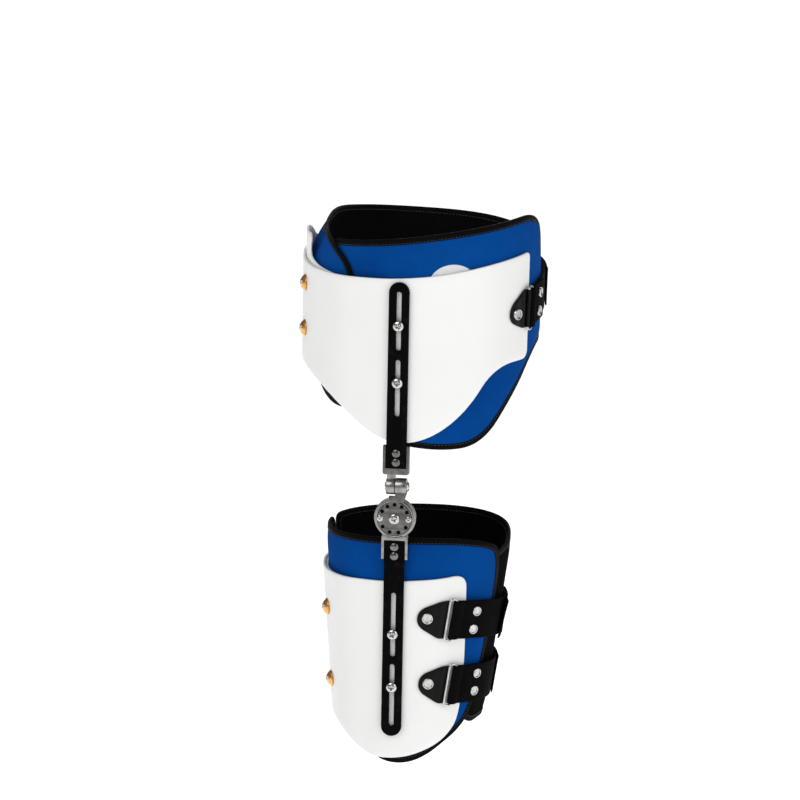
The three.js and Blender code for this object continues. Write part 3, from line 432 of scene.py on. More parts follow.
def merged(name, parts):
    """One mesh from several, each given as (points, faces) in metres or as a mesh."""
    work = bmesh.new()
    for part in parts:
        mesh = part if isinstance(part, bpy.types.Mesh) else make_mesh(name, *part)
        work.from_mesh(mesh)
        bpy.data.meshes.remove(mesh)
    mesh = bpy.data.meshes.new(name)
    work.to_mesh(mesh)
    work.free()
    mesh.polygons.foreach_set("use_smooth", np.ones(len(mesh.polygons), dtype=bool))
    mesh.set_sharp_from_angle(angle=math.radians(CREASE))
    return mesh


def placed(points, place):
    """Points in a frame's millimetres, as points in metres."""
    points = np.asarray(points, float)
    matrix = np.array(place)
    return points @ matrix[:3, :3].T + matrix[:3, 3]


def lathe(profile, place, sides=40):
    """A turned solid from (radius, height) rows; place is where its z axis stands."""
    angles = np.linspace(0, 2 * math.pi, sides, endpoint=False)
    points = []
    for radius, height in profile:
        ring = [np.cos(angles) * radius, np.sin(angles) * radius, np.full(sides, height)]
        points.append(np.stack(ring, 1))
    starts = range(0, len(profile) * sides, sides)
    return placed(np.vstack(points), place), capped(starts, sides)


def flat_plate(loops, low, high, bevel, place):
    """A plate with rounded edges; the first loop is its outline, the others are holes."""
    curve = bpy.data.curves.new("plate", "CURVE")
    curve.dimensions = "2D"
    curve.fill_mode = "BOTH"
    for loop in loops:
        spline = curve.splines.new("POLY")
        spline.points.add(len(loop) - 1)
        for point, (x, y) in zip(spline.points, loop):
            point.co = (x, y, 0, 1)
        spline.use_cyclic_u = True
    curve.extrude = (high - low) / 2 - bevel
    curve.bevel_depth = bevel
    curve.bevel_resolution = 2
    curve.offset = -bevel
    holder = bpy.data.objects.new("plate", curve)
    mesh = bpy.data.meshes.new_from_object(holder)
    bpy.data.objects.remove(holder)
    bpy.data.curves.remove(curve)
    mesh.transform(place @ Matrix.Translation((0, 0, (low + high) / 2)))
    outward(mesh, weld=1e-6)
    return mesh


def circle(x, y, radius, count):
    angles = np.linspace(0, 2 * math.pi, count, endpoint=False)
    return [(x + radius * math.cos(a), y + radius * math.sin(a)) for a in angles]


def stadium(x0, x1, y0, y1, radius, count=10):
    """A rectangle with round corners."""
    loop = []
    corners = [(x1 - radius, y0 + radius, -90), (x1 - radius, y1 - radius, 0)]
    corners += [(x0 + radius, y1 - radius, 90), (x0 + radius, y0 + radius, 180)]
    for x, y, start in corners:
        for k in range(count + 1):
            angle = math.radians(start + 90 * k / count)
            loop.append((x + radius * math.cos(angle), y + radius * math.sin(angle)))
    return loop


def stitches(line, normals):
    """Short rounded threads laid along a line of points, in metres."""
    path = evenly(np.hstack([line, normals]), STITCH["every"] * MM)
    along = unit(np.roll(path[:, :3], -1, 0) - path[:, :3])
    out = unit(path[:, 3:])
    across = unit(np.cross(out, along))
    half, radius = STITCH["length"] * MM / 2, STITCH["radius"] * MM
    rings = [(-1, 0.15), (-0.8, 0.8), (0, 1), (0.8, 0.8), (1, 0.15)]
    sides = 6
    points = []
    faces = []
    for centre, a, o, c in zip(path[:, :3], along, out, across):
        base = len(points)
        for place, share in rings:
            for k in range(sides):
                angle = 2 * math.pi * k / sides
                arm = o * math.cos(angle) + c * math.sin(angle)
                points.append(centre + a * place * half + arm * share * radius)
        faces += capped(range(base, len(points), sides), sides)
    return np.array(points), faces


# Materials


def add_node(tree, kind, inputs=None, **settings):
    node = tree.nodes.new(kind)
    for name, value in settings.items():
        setattr(node, name, value)
    for name, value in (inputs or {}).items():
        if isinstance(value, bpy.types.NodeSocket):
            tree.links.new(value, node.inputs[name])
        else:
            node.inputs[name].default_value = value
    return node


def new_material(name, values):
    material = bpy.data.materials.new(name)
    material.use_nodes = True
    shader = material.node_tree.nodes["Principled BSDF"]
    for key, value in values.items():
        shader.inputs[key].default_value = value
    place = add_node(material.node_tree, "ShaderNodeTexCoord").outputs["Object"]
    return material, material.node_tree, shader, place


def noise(tree, place, scale, detail):
    node = add_node(tree, "ShaderNodeTexNoise", {"Vector": place, "Scale": scale, "Detail": detail})
    return node.outputs["Fac"]


def between(tree, share, low, high, start=0.3, end=0.7):
    """A number that goes from low to high as share goes from start to end."""
    inputs = {"Value": share, "From Min": start, "From Max": end, "To Min": low, "To Max": high}
    return add_node(tree, "ShaderNodeMapRange", inputs).outputs["Result"]


def blend_colours(tree, share, first, second):
    inputs = {0: share, 6: (*first, 1), 7: (*second, 1)}
    return add_node(tree, "ShaderNodeMix", inputs, data_type="RGBA").outputs[2]


def bump(tree, height, depth, under=None):
    inputs = {"Height": height, "Distance": depth, "Strength": 1.0}
    if under is not None:
        inputs["Normal"] = under
    return add_node(tree, "ShaderNodeBump", inputs).outputs["Normal"]


def maths(tree, operation, first, second):
    return add_node(tree, "ShaderNodeMath", {0: first, 1: second}, operation=operation).outputs[0]


def ripples(tree, along, across):
    """Threads on the flat layout: a height that waves at the two given pitches in metres."""
    place = add_node(tree, "ShaderNodeUVMap", uv_map="flat").outputs["UV"]
    parts = add_node(tree, "ShaderNodeSeparateXYZ", {"Vector": place})
    waves = []
    for axis, pitch in (("X", along), ("Y", across)):
        if pitch:
            turned = maths(tree, "MULTIPLY", parts.outputs[axis], 2 * math.pi / pitch)
            waves.append(maths(tree, "SINE", turned, 0.0))
    return maths(tree, "MULTIPLY", *waves) if len(waves) == 2 else waves[0]


def link(tree, shader, **sockets):
    for name, socket in sockets.items():
        tree.links.new(socket, shader.inputs[name.replace("_", " ")])


def moulded_plastic():
    values = {"Specular IOR Level": 0.42, "Subsurface Weight": 0.04, "Subsurface Scale": 0.004}
    material, tree, shader, place = new_material("white_plastic", values)
    clouds = noise(tree, place, 14, 4)
    grain = noise(tree, place, 850, 2)
    waves = noise(tree, place, 34, 1)
    scuffs = noise(tree, place, 160, 5)
    colour = blend_colours(tree, clouds, (0.74, 0.74, 0.727), (0.79, 0.79, 0.78))
    normal = bump(tree, waves, 0.0009)
    normal = bump(tree, grain, 0.00005, normal)
    link(tree, shader, Base_Color=colour, Roughness=between(tree, scuffs, 0.3, 0.5), Normal=normal)
    return material


def knit_fabric(name, dark, light, sheen, pitch=0.0013):
    values = {"Specular IOR Level": 0.03, "Roughness": 0.9, "Sheen Weight": sheen, "Sheen Roughness": 0.45}
    material, tree, shader, place = new_material(name, values)
    shader.inputs["Sheen Tint"].default_value = (*[min(1, 2.2 * c + 0.02) for c in light], 1)
    clouds = noise(tree, place, 11, 5)
    fibres = noise(tree, place, 1900, 2)
    worn = maths(tree, "ADD", maths(tree, "MULTIPLY", clouds, 0.6), maths(tree, "MULTIPLY", fibres, 0.4))
    colour = blend_colours(tree, between(tree, worn, 0, 1, 0.35, 0.65), dark, light)
    soft = bump(tree, noise(tree, place, 55, 2), 0.0008)
    threads = maths(tree, "ADD", ripples(tree, pitch, pitch), fibres)
    link(tree, shader, Base_Color=colour, Normal=bump(tree, threads, 0.00016, soft))
    return material


def ribbed_tape():
    values = {"Specular IOR Level": 0.03, "Roughness": 0.55, "Sheen Weight": 0.002, "Sheen Roughness": 0.4}
    material, tree, shader, place = new_material("black_tape", values)
    fibres = noise(tree, place, 1500, 2)
    colour = blend_colours(tree, fibres, NEAR_BLACK, (0.0045, 0.0045, 0.005))
    ribs = maths(tree, "ADD", ripples(tree, 0.0012, None), fibres)
    link(tree, shader, Base_Color=colour, Normal=bump(tree, ribs, 0.00014))
    return material


def loop_webbing():
    values = {"Specular IOR Level": 0.03, "Roughness": 0.9, "Sheen Weight": 0.006, "Sheen Roughness": 0.6}
    material, tree, shader, place = new_material("black_webbing", values)
    fuzz = noise(tree, place, 1100, 4)
    clouds = noise(tree, place, 60, 3)
    colour = blend_colours(tree, clouds, NEAR_BLACK, (0.004, 0.004, 0.0044))
    pile = maths(tree, "ADD", maths(tree, "MULTIPLY", ripples(tree, 0.0016, 0.0016), 0.4), fuzz)
    link(tree, shader, Base_Color=colour, Normal=bump(tree, pile, 0.0004))
    return material


def grained_leather():
    values = {"Specular IOR Level": 0.06, "Coat Weight": 0.06, "Coat Roughness": 0.12}
    material, tree, shader, place = new_material("black_leather", values)
    cells = add_node(tree, "ShaderNodeTexVoronoi", {"Vector": place, "Scale": 900.0})
    creases = noise(tree, place, 120, 4)
    colour = blend_colours(tree, creases, (0.002, 0.0019, 0.0018), (0.007, 0.0066, 0.0062))
    normal = bump(tree, creases, 0.0005)
    normal = bump(tree, cells.outputs["Distance"], 0.00018, normal)
    link(tree, shader, Base_Color=colour, Roughness=between(tree, creases, 0.24, 0.42), Normal=normal)
    return material


def coated_metal():
    values = {"Specular IOR Level": 0.03}
    material, tree, shader, place = new_material("black_metal", values)
    powder = noise(tree, place, 1600, 2)
    rubs = noise(tree, place, 90, 6)
    bare = between(tree, rubs, 0, 1, 0.55, 0.75)
    colour = blend_colours(tree, bare, NEAR_BLACK, (0.006, 0.006, 0.0065))
    rough = between(tree, rubs, 0.48, 0.34)
    link(tree, shader, Base_Color=colour, Roughness=rough, Normal=bump(tree, powder, 0.00004))
    return material


def metal(name, dark, light, rough, grain_depth):
    material, tree, shader, place = new_material(name, {"Metallic": 1.0})
    stains = noise(tree, place, 130, 5)
    grain = noise(tree, place, 2200, 2)
    colour = blend_colours(tree, between(tree, stains, 0, 1), dark, light)
    roughness = between(tree, stains, *rough)
    link(tree, shader, Base_Color=colour, Roughness=roughness, Normal=bump(tree, grain, grain_depth))
    return material


def plain_thread(name, colour):
    material, tree, shader, place = new_material(name, {"Roughness": 0.75, "Sheen Weight": 0.2})
    twist = noise(tree, place, 2600, 1)
    twisted = blend_colours(tree, twist, colour, [1.5 * c + 0.004 for c in colour])
    link(tree, shader, Base_Color=twisted, Normal=bump(tree, twist, 0.0001))
    return material


PLASTIC = moulded_plastic()
BLUE = knit_fabric("blue_fabric", (0.0005, 0.042, 0.21), (0.0012, 0.068, 0.31), 0.04)
LINING = knit_fabric("black_lining", (0.001, 0.001, 0.0012), (0.003, 0.003, 0.0035), 0.004)
WHITE_PATCH = knit_fabric("white_patch", (0.7, 0.7, 0.71), (0.78, 0.78, 0.79), 0.05, 0.0009)
TAPE = ribbed_tape()
WEBBING = loop_webbing()
LEATHER = grained_leather()
BLACK_METAL = coated_metal()
# The hinge's steel is one metal in two painted tones. The darker copy is painted shade for the dial's face,
# its neck and the upper channel. The lighter copy is painted light for the knuckles, the web, the dial's rim
# and the lower bracket.
SHADED_STEEL = metal("steel", (0.1, 0.096, 0.09), (0.17, 0.163, 0.154), (0.42, 0.28), 0.00003)
LIT_STEEL = metal("lit_steel", (0.2, 0.196, 0.19), (0.34, 0.335, 0.325), (0.36, 0.2), 0.00002)
GLOSSY = metal("glossy_steel", (0.11, 0.108, 0.104), (0.2, 0.197, 0.19), (0.2, 0.1), 0.000008)
BRIGHT = metal("bright_steel", (0.4, 0.395, 0.385), (0.56, 0.555, 0.545), (0.24, 0.1), 0.000008)
COPPER = metal("copper", (0.62, 0.28, 0.06), (0.86, 0.45, 0.14), (0.38, 0.22), 0.00002)
DARK_HOLE = metal("shaded_recess", (0.006, 0.006, 0.006), (0.014, 0.014, 0.014), (0.7, 0.6), 0.00002)
THREAD = plain_thread("black_thread", (0.014, 0.014, 0.015))


# Shells


def shell_panel(name, wall, outline, inner, outer, edge=SHELL_EDGE, spacing=SHELL_SPACING):
    """A closed panel on a wall, with round edges. inner and outer give depths at (degrees, height)."""
    core = inset(outline, edge)
    points, faces = fill(core, spacing)
    layers = []
    flats = []

    def add_layer(flat, depth, lift):
        layers.append(wall.lay(flat, depth(flat[:, 0] / wall.scale, flat[:, 1]) + lift))
        flats.append(flat)

    bends = [math.radians(angle) for angle in (30, 60, 90)]
    add_layer(points, outer, 0)
    for depth, angles, way in ((outer, bends, -1), (inner, bends[::-1], 1)):
        for angle in angles:
            add_layer(inset(core, -edge * math.sin(angle)), depth, way * edge * (1 - math.cos(angle)))
    add_layer(points, inner, 0)
    starts = np.cumsum([0] + [len(flat) for flat in flats[:-1]]).tolist()
    under = [tuple(k + starts[-1] for k in reversed(face)) for face in faces]
    return make_mesh(name, np.vstack(layers), faces + skin(starts, len(core)) + under, np.vstack(flats))


def even(depth):
    return lambda at, z=0: np.full(np.shape(at), float(depth))


def lapped(shell, lap, thick=0):
    """Depths of a shell that lifts where it laps over another one."""
    return lambda at, z=0: shell["inner"] + shell["lift"] * ramp(at, *lap) + thick


PELVIS_SHELL_OUTER = lapped(PELVIS_SHELL, PELVIS_LAPS["shell"], PELVIS_SHELL["thick"])
THIGH_SHELL_OUTER = lapped(THIGH_SHELL, THIGH_LAPS["shell"], THIGH_SHELL["thick"])
PELVIS_FAR_FACE = PELVIS_FAR_SHELL["inner"] + PELVIS_FAR_SHELL["thick"]
THIGH_FAR_FACE = THIGH_INNER_SHELL["inner"] + THIGH_INNER_SHELL["thick"]


def add_shells():
    pelvis_inner = lapped(PELVIS_SHELL, PELVIS_LAPS["shell"])
    thigh_inner = lapped(THIGH_SHELL, THIGH_LAPS["shell"])
    pelvis_far = (even(PELVIS_FAR_SHELL["inner"]), even(PELVIS_FAR_FACE))
    thigh_far = (even(THIGH_INNER_SHELL["inner"]), even(THIGH_FAR_FACE))
    table = [
        ("pelvic_shell", "pelvis", PELVIS, PELVIC_SHELL_ROWS, pelvis_inner, PELVIS_SHELL_OUTER),
        ("pelvic_shell_far", "pelvis", PELVIS, PELVIC_FAR_SHELL_ROWS, *pelvis_far),
        ("thigh_shell", "thigh", THIGH, THIGH_SHELL_ROWS, thigh_inner, THIGH_SHELL_OUTER),
        ("thigh_shell_inner", "thigh", THIGH, THIGH_INNER_SHELL_ROWS, *thigh_far),
    ]
    for node, body, wall, rows, inner, outer in table:
        mesh = shell_panel(node, wall, rounded_outline(rows, wall.scale), inner, outer)
        add_piece(node, mesh, [PLASTIC], body)


# Pads


def swollen(points, faces, held):
    """The points after the free part of the cover has been blown up by cloth pressure."""
    mesh = bpy.data.meshes.new("cover")
    mesh.from_pydata(points.tolist(), [], [tuple(int(k) for k in face) for face in faces])
    cover = put("cover", mesh)
    scene = bpy.context.scene
    group = cover.vertex_groups.new(name="held")
    for k, weight in enumerate(held):
        group.add([k], float(weight), "REPLACE")
    cloth = cover.modifiers.new("Cloth", "CLOTH")
    cloth.settings.vertex_group_mass = "held"
    cloth.settings.use_pressure = True
    cloth.settings.uniform_pressure_force = SWELL_PRESSURE
    cloth.settings.effector_weights.gravity = 0
    cloth.settings.quality = 6
    cloth.point_cache.frame_start = 1
    cloth.point_cache.frame_end = SWELL_FRAMES
    for step in range(1, SWELL_FRAMES + 1):
        scene.frame_set(step)
    result = cover.evaluated_get(bpy.context.evaluated_depsgraph_get()).to_mesh()
    moved = np.empty(len(points) * 3)
    result.vertices.foreach_get("co", moved)
    bpy.data.objects.remove(cover)
    bpy.data.meshes.remove(mesh)
    scene.frame_set(1)
    change = moved.reshape(-1, 3) - points
    length = np.maximum(np.linalg.norm(change, axis=1, keepdims=True), 1e-9)
    return points + change * np.minimum(1, SWELL_LIMIT * MM / length)


def waist_lean(at, z):
    """How far the pelvic pads lean in towards the waist at the back."""
    return WAIST["lean"] * ramp(z, *WAIST["heights"]) * ramp(at, *WAIST["start"]) * ramp(at, *WAIST["end"])


def pad_profile(wall, inner, outer):
    """Depth functions of a pad's two faces, thinner towards its sewn edge."""

    def shape(flat, distance):
        at = flat[:, 0] / wall.scale
        lean = waist_lean(at, flat[:, 1]) if wall is PELVIS else 0
        base = inner(at) - lean
        thick = outer(at) - inner(at)
        share = np.clip((distance - PAD_EDGE["start"]) / PAD_CROWN, 0, 1)
        full = 1 - (1 - share) ** PAD_EDGE["curve"]
        face = base + thick * (PAD_EDGE["share"] + (1 - PAD_EDGE["share"]) * full)
        back = base + thick * PAD_EDGE["back"] * (1 - full)
        return face, back

    return shape


def pad_mesh(name, wall, outline, shape, held_by, dark_from):
    body_line = inset(outline, PAD_TUCK)
    flat, faces = fill(body_line, PAD_SPACING)
    seam = np.abs(flat[:, 0] - dark_from * wall.scale) < PAD_SPACING / 2
    seam[: len(body_line)] = False
    flat[seam, 0] = dark_from * wall.scale
    distance = edge_distance(outline, flat)
    face, back = shape(flat, distance)
    front = wall.lay(flat, face)
    rear = wall.lay(flat, back)
    outer_faces = [tuple(reversed(f)) for f in faces]
    held = np.maximum(1 - ramp(distance, TAPE_WIDTH, TAPE_WIDTH + 4), held_by(flat))
    front = swollen(front, outer_faces, held)
    count, total = len(body_line), len(flat)
    sides = [(k, (k + 1) % count, total + (k + 1) % count, total + k) for k in range(count)]
    inner_faces = [tuple(k + total for k in f) for f in faces]
    middles = np.array([flat[list(f), 0].mean() for f in faces]) / wall.scale
    outer_slots = np.where(middles > dark_from, 1, 0)
    slots = np.concatenate([outer_slots, np.ones(len(sides)), np.ones(len(inner_faces))])
    points = np.vstack([front, rear])
    return make_mesh(name, points, outer_faces + sides + inner_faces, np.vstack([flat, flat]), slots)


def tape_mesh(name, wall, outline, shape):
    """The binding: a strip folded over the pad's edge, with a row of stitches on both faces."""
    lanes = []
    for distance, lift in ((1, -0.3), (0.97, 0.8), (0.9, 1), (0.7, 1), (0.5, 1)):
        lanes.append((distance * TAPE_WIDTH, lift * TAPE_THICK))
    reached = travelled(outline)

    def lane(distance, lift, outer):
        flat = inset(outline, distance)
        face, back = shape(flat, np.full(len(flat), distance))
        depth = face + lift if outer else back - lift
        return wall.lay(flat, depth), depth

    rows = [lane(distance, lift, True)[0] for distance, lift in lanes]
    across = [-d for d, _ in lanes]
    top = lane(*lanes[-1], True)[1]
    low = lane(*lanes[-1], False)[1]
    middle, half = (top + low) / 2, (top - low) / 2
    reach = lanes[-1][0]
    for angle in np.radians([65, 40, 15, -15, -40, -65]):
        flat = inset(outline, reach * (1 - math.cos(angle)))
        rows.append(wall.lay(flat, middle + half * math.sin(angle)))
        across.append(-reach + (math.pi / 2 - angle) * 2)
    for distance, lift in reversed(lanes):
        rows.append(lane(distance, lift, False)[0])
        across.append(reach + distance)
    count = len(outline)
    points = np.vstack(rows)
    uv = np.vstack([np.stack([reached, np.full(count, v)], 1) for v in across])
    faces = skin([*range(0, len(points), count), 0], count)
    slots = [0] * len(faces)
    for outer in (True, False):
        across_tape, lift = TAPE_WIDTH * STITCH["across"], TAPE_THICK * STITCH["lift"]
        line = lane(across_tape, lift, outer)[0]
        higher = lane(across_tape, lift + 1, outer)[0]
        more_points, more_faces = stitches(line, higher - line)
        faces += [tuple(k + len(points) for k in face) for face in more_faces]
        slots += [1] * len(more_faces)
        points = np.vstack([points, more_points])
        uv = np.vstack([uv, np.zeros((len(more_points), 2))])
    return make_mesh(name, points, faces, uv, slots)


def held_under(wall, *covers, pinned=None):
    """How firmly each point of a pad is held: fully under a shell, and not at all away from it."""
    lines = [rounded_outline(rows, wall.scale) for rows in covers]

    def held(flat):
        firm = np.zeros(len(flat))
        for line in lines:
            depth_under = np.where(inside(line, flat), edge_distance(line, flat), 0)
            firm = np.maximum(firm, ramp(depth_under, 1, 9))
        if pinned is not None:
            firm = np.maximum(firm, ramp(flat[:, 0] / wall.scale, *pinned))
        return firm

    return held


def add_pad(node, binding, wall, rows, inner, outer, held_by, body, dark_from=math.inf):
    outline = rounded_outline(rows, wall.scale)
    shape = pad_profile(wall, inner, outer)
    mesh = pad_mesh(node, wall, outline, shape, held_by, dark_from)
    add_piece(node, mesh, [BLUE, LINING], body)
    add_piece(binding, tape_mesh(binding, wall, outline, shape), [TAPE, THREAD], body)


def thinned(full, thin, lap):
    return lambda at: full - (full - thin) * ramp(at, *lap)


def raised(height, lap):
    return lambda at: height * ramp(at, *lap)


def add_pads():
    near_outer = thinned(PELVIS_PAD, LAP_THIN, PELVIS_LAPS["pad"])
    far_inner = raised(LAP_THIN + LAP_GAP, PELVIS_LAPS["far_pad"])
    side_inner = raised(TONGUE + LAP_GAP, THIGH_LAPS["pad"])
    medial_outer = thinned(THIGH_PAD, TONGUE, THIGH_LAPS["inner_pad"])
    near = (PELVIS, PELVIC_PAD_ROWS, even(0), near_outer)
    far = (PELVIS, PELVIC_FAR_PAD_ROWS, far_inner, even(PELVIS_PAD))
    side = (THIGH, THIGH_PAD_ROWS, side_inner, even(THIGH_PAD))
    medial = (THIGH, THIGH_INNER_PAD_ROWS, even(0), medial_outer)
    near_held = held_under(PELVIS, PELVIC_SHELL_ROWS, pinned=PELVIS_LAPS["pinned"])
    far_held = held_under(PELVIS, PELVIC_FAR_SHELL_ROWS, PELVIC_SHELL_ROWS)
    side_held = held_under(THIGH, THIGH_SHELL_ROWS)
    medial_held = held_under(THIGH, THIGH_INNER_SHELL_ROWS, pinned=THIGH_LAPS["pinned"])
    add_pad("pelvic_pad", "pelvic_binding", *near, near_held, "pelvis")
    add_pad("pelvic_pad_far", "pelvic_binding_far", *far, far_held, "pelvis")
    add_pad("thigh_pad", "thigh_binding", *side, side_held, "thigh")
    add_pad("thigh_pad_inner", "thigh_binding_inner", *medial, medial_held, "thigh", TONGUE_FROM)


# Closures


def strap_route(wall, spec):
    """The strap's middle line as rows (degrees, depth, stand-off), and the depth under its rivets."""
    scale = wall.scale
    edge, far_edge, far_at = spec["edge"], spec["far_edge"], spec["far_at"]
    bar_at = spec["ring_at"] - RING["reach"] / scale
    bar_depth = spec["near"] + GAP + TAB["thick"] + GAP + RING["wire"]
    far_depth = spec["far"] + LOOP["rise"]
    rest = spec["pad"] + STRAP["rest"]
    slope = STRAP["slope"] / scale

    def rise(at, bar):
        return (2 * FOLD - STRAP["layer"]) * ramp(np.abs(at - bar) * scale, STRAP["slope"], 1)

    def lower(at):
        near_rise = (bar_depth - FOLD - rest) * ramp(at, edge - 1 - slope, edge - 1)
        far_rise = (far_depth - FOLD - rest) * ramp(at, far_edge + 1 + slope, far_edge + 1)
        return rest + near_rise + far_rise

    def lap(at):
        return lower(at) + STRAP["layer"] + rise(at, bar_at)

    def flap(at):
        return lower(at) + STRAP["layer"] + rise(at, far_at)

    def stand_off(at):
        return spec["flare"] * ramp(at, spec["flap_end"] - 2 * slope, spec["flap_end"])

    def run(start, end, depth, stand=np.zeros_like):
        at = np.linspace(start, end, int(abs(end - start) / 0.9) + 2)
        return np.stack([at, depth(at), stand(at)], 1)

    def turn(centre, depth, direction, start):
        angle = np.linspace(0, math.pi, 13)[1:-1]
        at = centre + direction * np.sin(angle) * FOLD / scale
        return np.stack([at, depth + start * np.cos(angle) * FOLD, np.zeros_like(at)], 1)

    line = [
        run(spec["lap_end"], bar_at, lap), turn(bar_at, bar_depth, 1, 1), run(bar_at, far_at, lower),
        turn(far_at, far_depth, -1, -1), run(far_at, spec["flap_end"], flap, stand_off),
    ]
    return np.vstack(line), lap


def strap_drop(spec, at):
    """How far a strap has come down where it slants from its ring to its level stretch."""
    return spec["drop"] * ramp(np.asarray(at, float), spec["ring_at"], spec["level_from"])


def strap_mesh(wall, route, heights, leaning):
    """A webbing strip along a route. leaning slants its ends, in degrees per millimetre."""
    half = STRAP["width"] / 2
    thick = STRAP["thick"] / 2
    spots = np.array([-1, -0.985, -0.95, -0.9, -0.5, 0, 0.5, 0.9, 0.95, 0.985, 1])
    swell = np.sqrt(np.clip(1 - (np.clip(np.abs(spots) - 0.95, 0, 1) / 0.05) ** 2, 0.02, 1))
    swell = swell * np.where((np.abs(spots) > 0.88) & (np.abs(spots) < 0.97), 1.0, 0.9)
    ring = [(v, s) for v, s in zip(spots, swell)] + [(v, -s) for v, s in zip(spots[::-1], swell[::-1])]
    count = len(route)
    columns = []
    for v, s in ring:
        depth = route[:, 1] + route[:, 2] * (1 + FLAP_LEAN * v)
        at = route[:, 0] - v * half * leaning
        middle = wall.points(at, heights + v * half - FLAP_SAG * route[:, 2], depth)
        along = unit(np.gradient(middle, axis=0))
        out = np.stack([along[:, 1], -along[:, 0], np.zeros(count)], 1)
        columns.append(middle + unit(out) * s * thick * MM)
    middle = wall.points(route[:, 0], heights, route[:, 1]) / MM
    reached = travelled(middle)
    uv = np.vstack([np.stack([reached, np.full(count, v * half)], 1) for v, _ in ring])
    starts = range(0, len(ring) * count, count)
    faces = skin([*starts, 0], count, closed=False)
    faces.append(tuple(starts))
    faces.append(tuple(start + count - 1 for start in starts))
    return make_mesh("strap", np.vstack(columns), faces, uv, crease=60)


def tab_mesh(wall, spec):
    """A leather tab, with a raised fold beside the ring."""
    half = STRAP["width"] / 2
    scale = wall.scale
    ring_at, z, size, near, lobe = (spec[key] for key in ("ring_at", "z", "tab_size", "near", "lobe"))
    table = [
        (-TAB["tail"], -half, 1), (TAB["straight"], -half, 5), (TAB["length"], lobe - TAB["narrow"], 10),
        (TAB["length"], lobe + TAB["narrow"], 10), (TAB["straight"], half, 5), (-TAB["tail"], half, 1),
    ]
    lean = math.tan(math.radians(spec["tilt"]))
    rows = []
    for along, height, reach in table:
        rows.append((ring_at + (along * size - height * lean) / scale, z + height, reach))
    outline = rounded_outline(rows, scale, 1.2)

    def outer(at, height):
        along = (at - ring_at) * scale + (height - z) * lean
        fold = TAB["ridge"] * ramp(along, 2.6, 4) * ramp(along, 9, 7.2)
        flat = np.stack([at * scale, height], 1)
        crown = 0.35 * ramp(edge_distance(outline, flat), 0.5, 4)
        return near + GAP + TAB["thick"] - 0.3 + crown + fold

    return shell_panel("tab", wall, outline, even(near + GAP), outer, edge=0.8, spacing=1.6)


def ring_mesh(place):
    """A rectangular ring of round wire, lying flat in its place."""
    x, y = RING["reach"] / 2, STRAP["width"] / 2 + RING["wire"] + RING["room"]
    line = np.array(stadium(-x, x, -y, y, RING["corner"], 8))
    line = evenly(line, 0.9)
    along = unit(np.roll(line, -1, 0) - np.roll(line, 1, 0))
    across = np.stack([along[:, 1], -along[:, 0], np.zeros(len(line))], 1)
    centre = np.hstack([line, np.zeros((len(line), 1))])
    sides = 14
    rows = []
    for angle in np.linspace(0, 2 * math.pi, sides, endpoint=False):
        arm = across * math.cos(angle) + np.array([0, 0, math.sin(angle)])
        rows.append(placed(centre + arm * RING["wire"], place))
    count = len(line)
    return make_mesh("ring", np.vstack(rows), skin([*range(0, sides * count, count), 0], count))


def roll(place):
    """The end of a tab, rolled round the ring's near bar."""
    half, radius, soft = STRAP["width"] / 2 - 0.6, RING["wire"] + 0.9, 0.5
    turn = place @ Matrix.Translation((-RING["reach"] / 2, 0, 0)) @ Matrix.Rotation(-math.pi / 2, 4, "X")
    rows = [(0.001, -half), (radius - soft, -half), (radius, soft - half)]
    return lathe(rows + [(x, -y) for x, y in reversed(rows)], turn, 24)


def loop_mesh(place):
    """A bent bar on two feet, which the strap's far end runs round."""
    inner = STRAP["width"] / 2 + 1
    outer = inner + LOOP["leg"]
    end = outer + LOOP["foot"]
    bar_low = LOOP["rise"] - LOOP["bar"] / 2
    bar_high = bar_low + LOOP["bar"]
    foot = GAP + LOOP["foot_height"]
    loop = [
        (-end, GAP), (-inner, GAP), (-inner, bar_low), (inner, bar_low), (inner, GAP), (end, GAP),
        (end, foot), (outer, foot), (outer, bar_high), (-outer, bar_high), (-outer, foot), (-end, foot),
    ]
    turn = Matrix(((0, 0, 1, 0), (1, 0, 0, 0), (0, 1, 0, 0), (0, 0, 0, 1)))
    plate = flat_plate([loop], -LOOP["bar"] / 2, LOOP["bar"] / 2, 0.4, place @ turn)
    return merged("loop", [plate])


def dome(head, height, flange, base):
    """Profile of a rivet head: a thin flange under a round dome."""
    rows = [(0.001, base), (head * 0.97, base), (head, base + height * 0.1)]
    rows.append((head * 0.97, base + height * flange))
    for angle in np.linspace(0, math.pi / 2, 9)[1:]:
        rise = flange + (1 - flange) * math.sin(angle)
        rows.append((max(head * 0.93 * math.cos(angle), 0.001), base + height * rise))
    return rows


def cap(head, height, base):
    """Profile of a cap rivet: a round rim about a shallow dish."""
    rows = [(0.001, base), (head * 0.97, base), (head, base + height * 0.14)]
    for angle in np.linspace(0, math.pi, 9):
        rows.append((head * (0.82 + 0.16 * math.cos(angle)), base + height * (0.45 + 0.55 * math.sin(angle))))
    dish = [(head * share, base + height * (0.38 + 0.1 * share**2)) for share in (0.5, 0.3, 0.12)]
    return rows + dish + [(0.001, base + height * 0.38)]


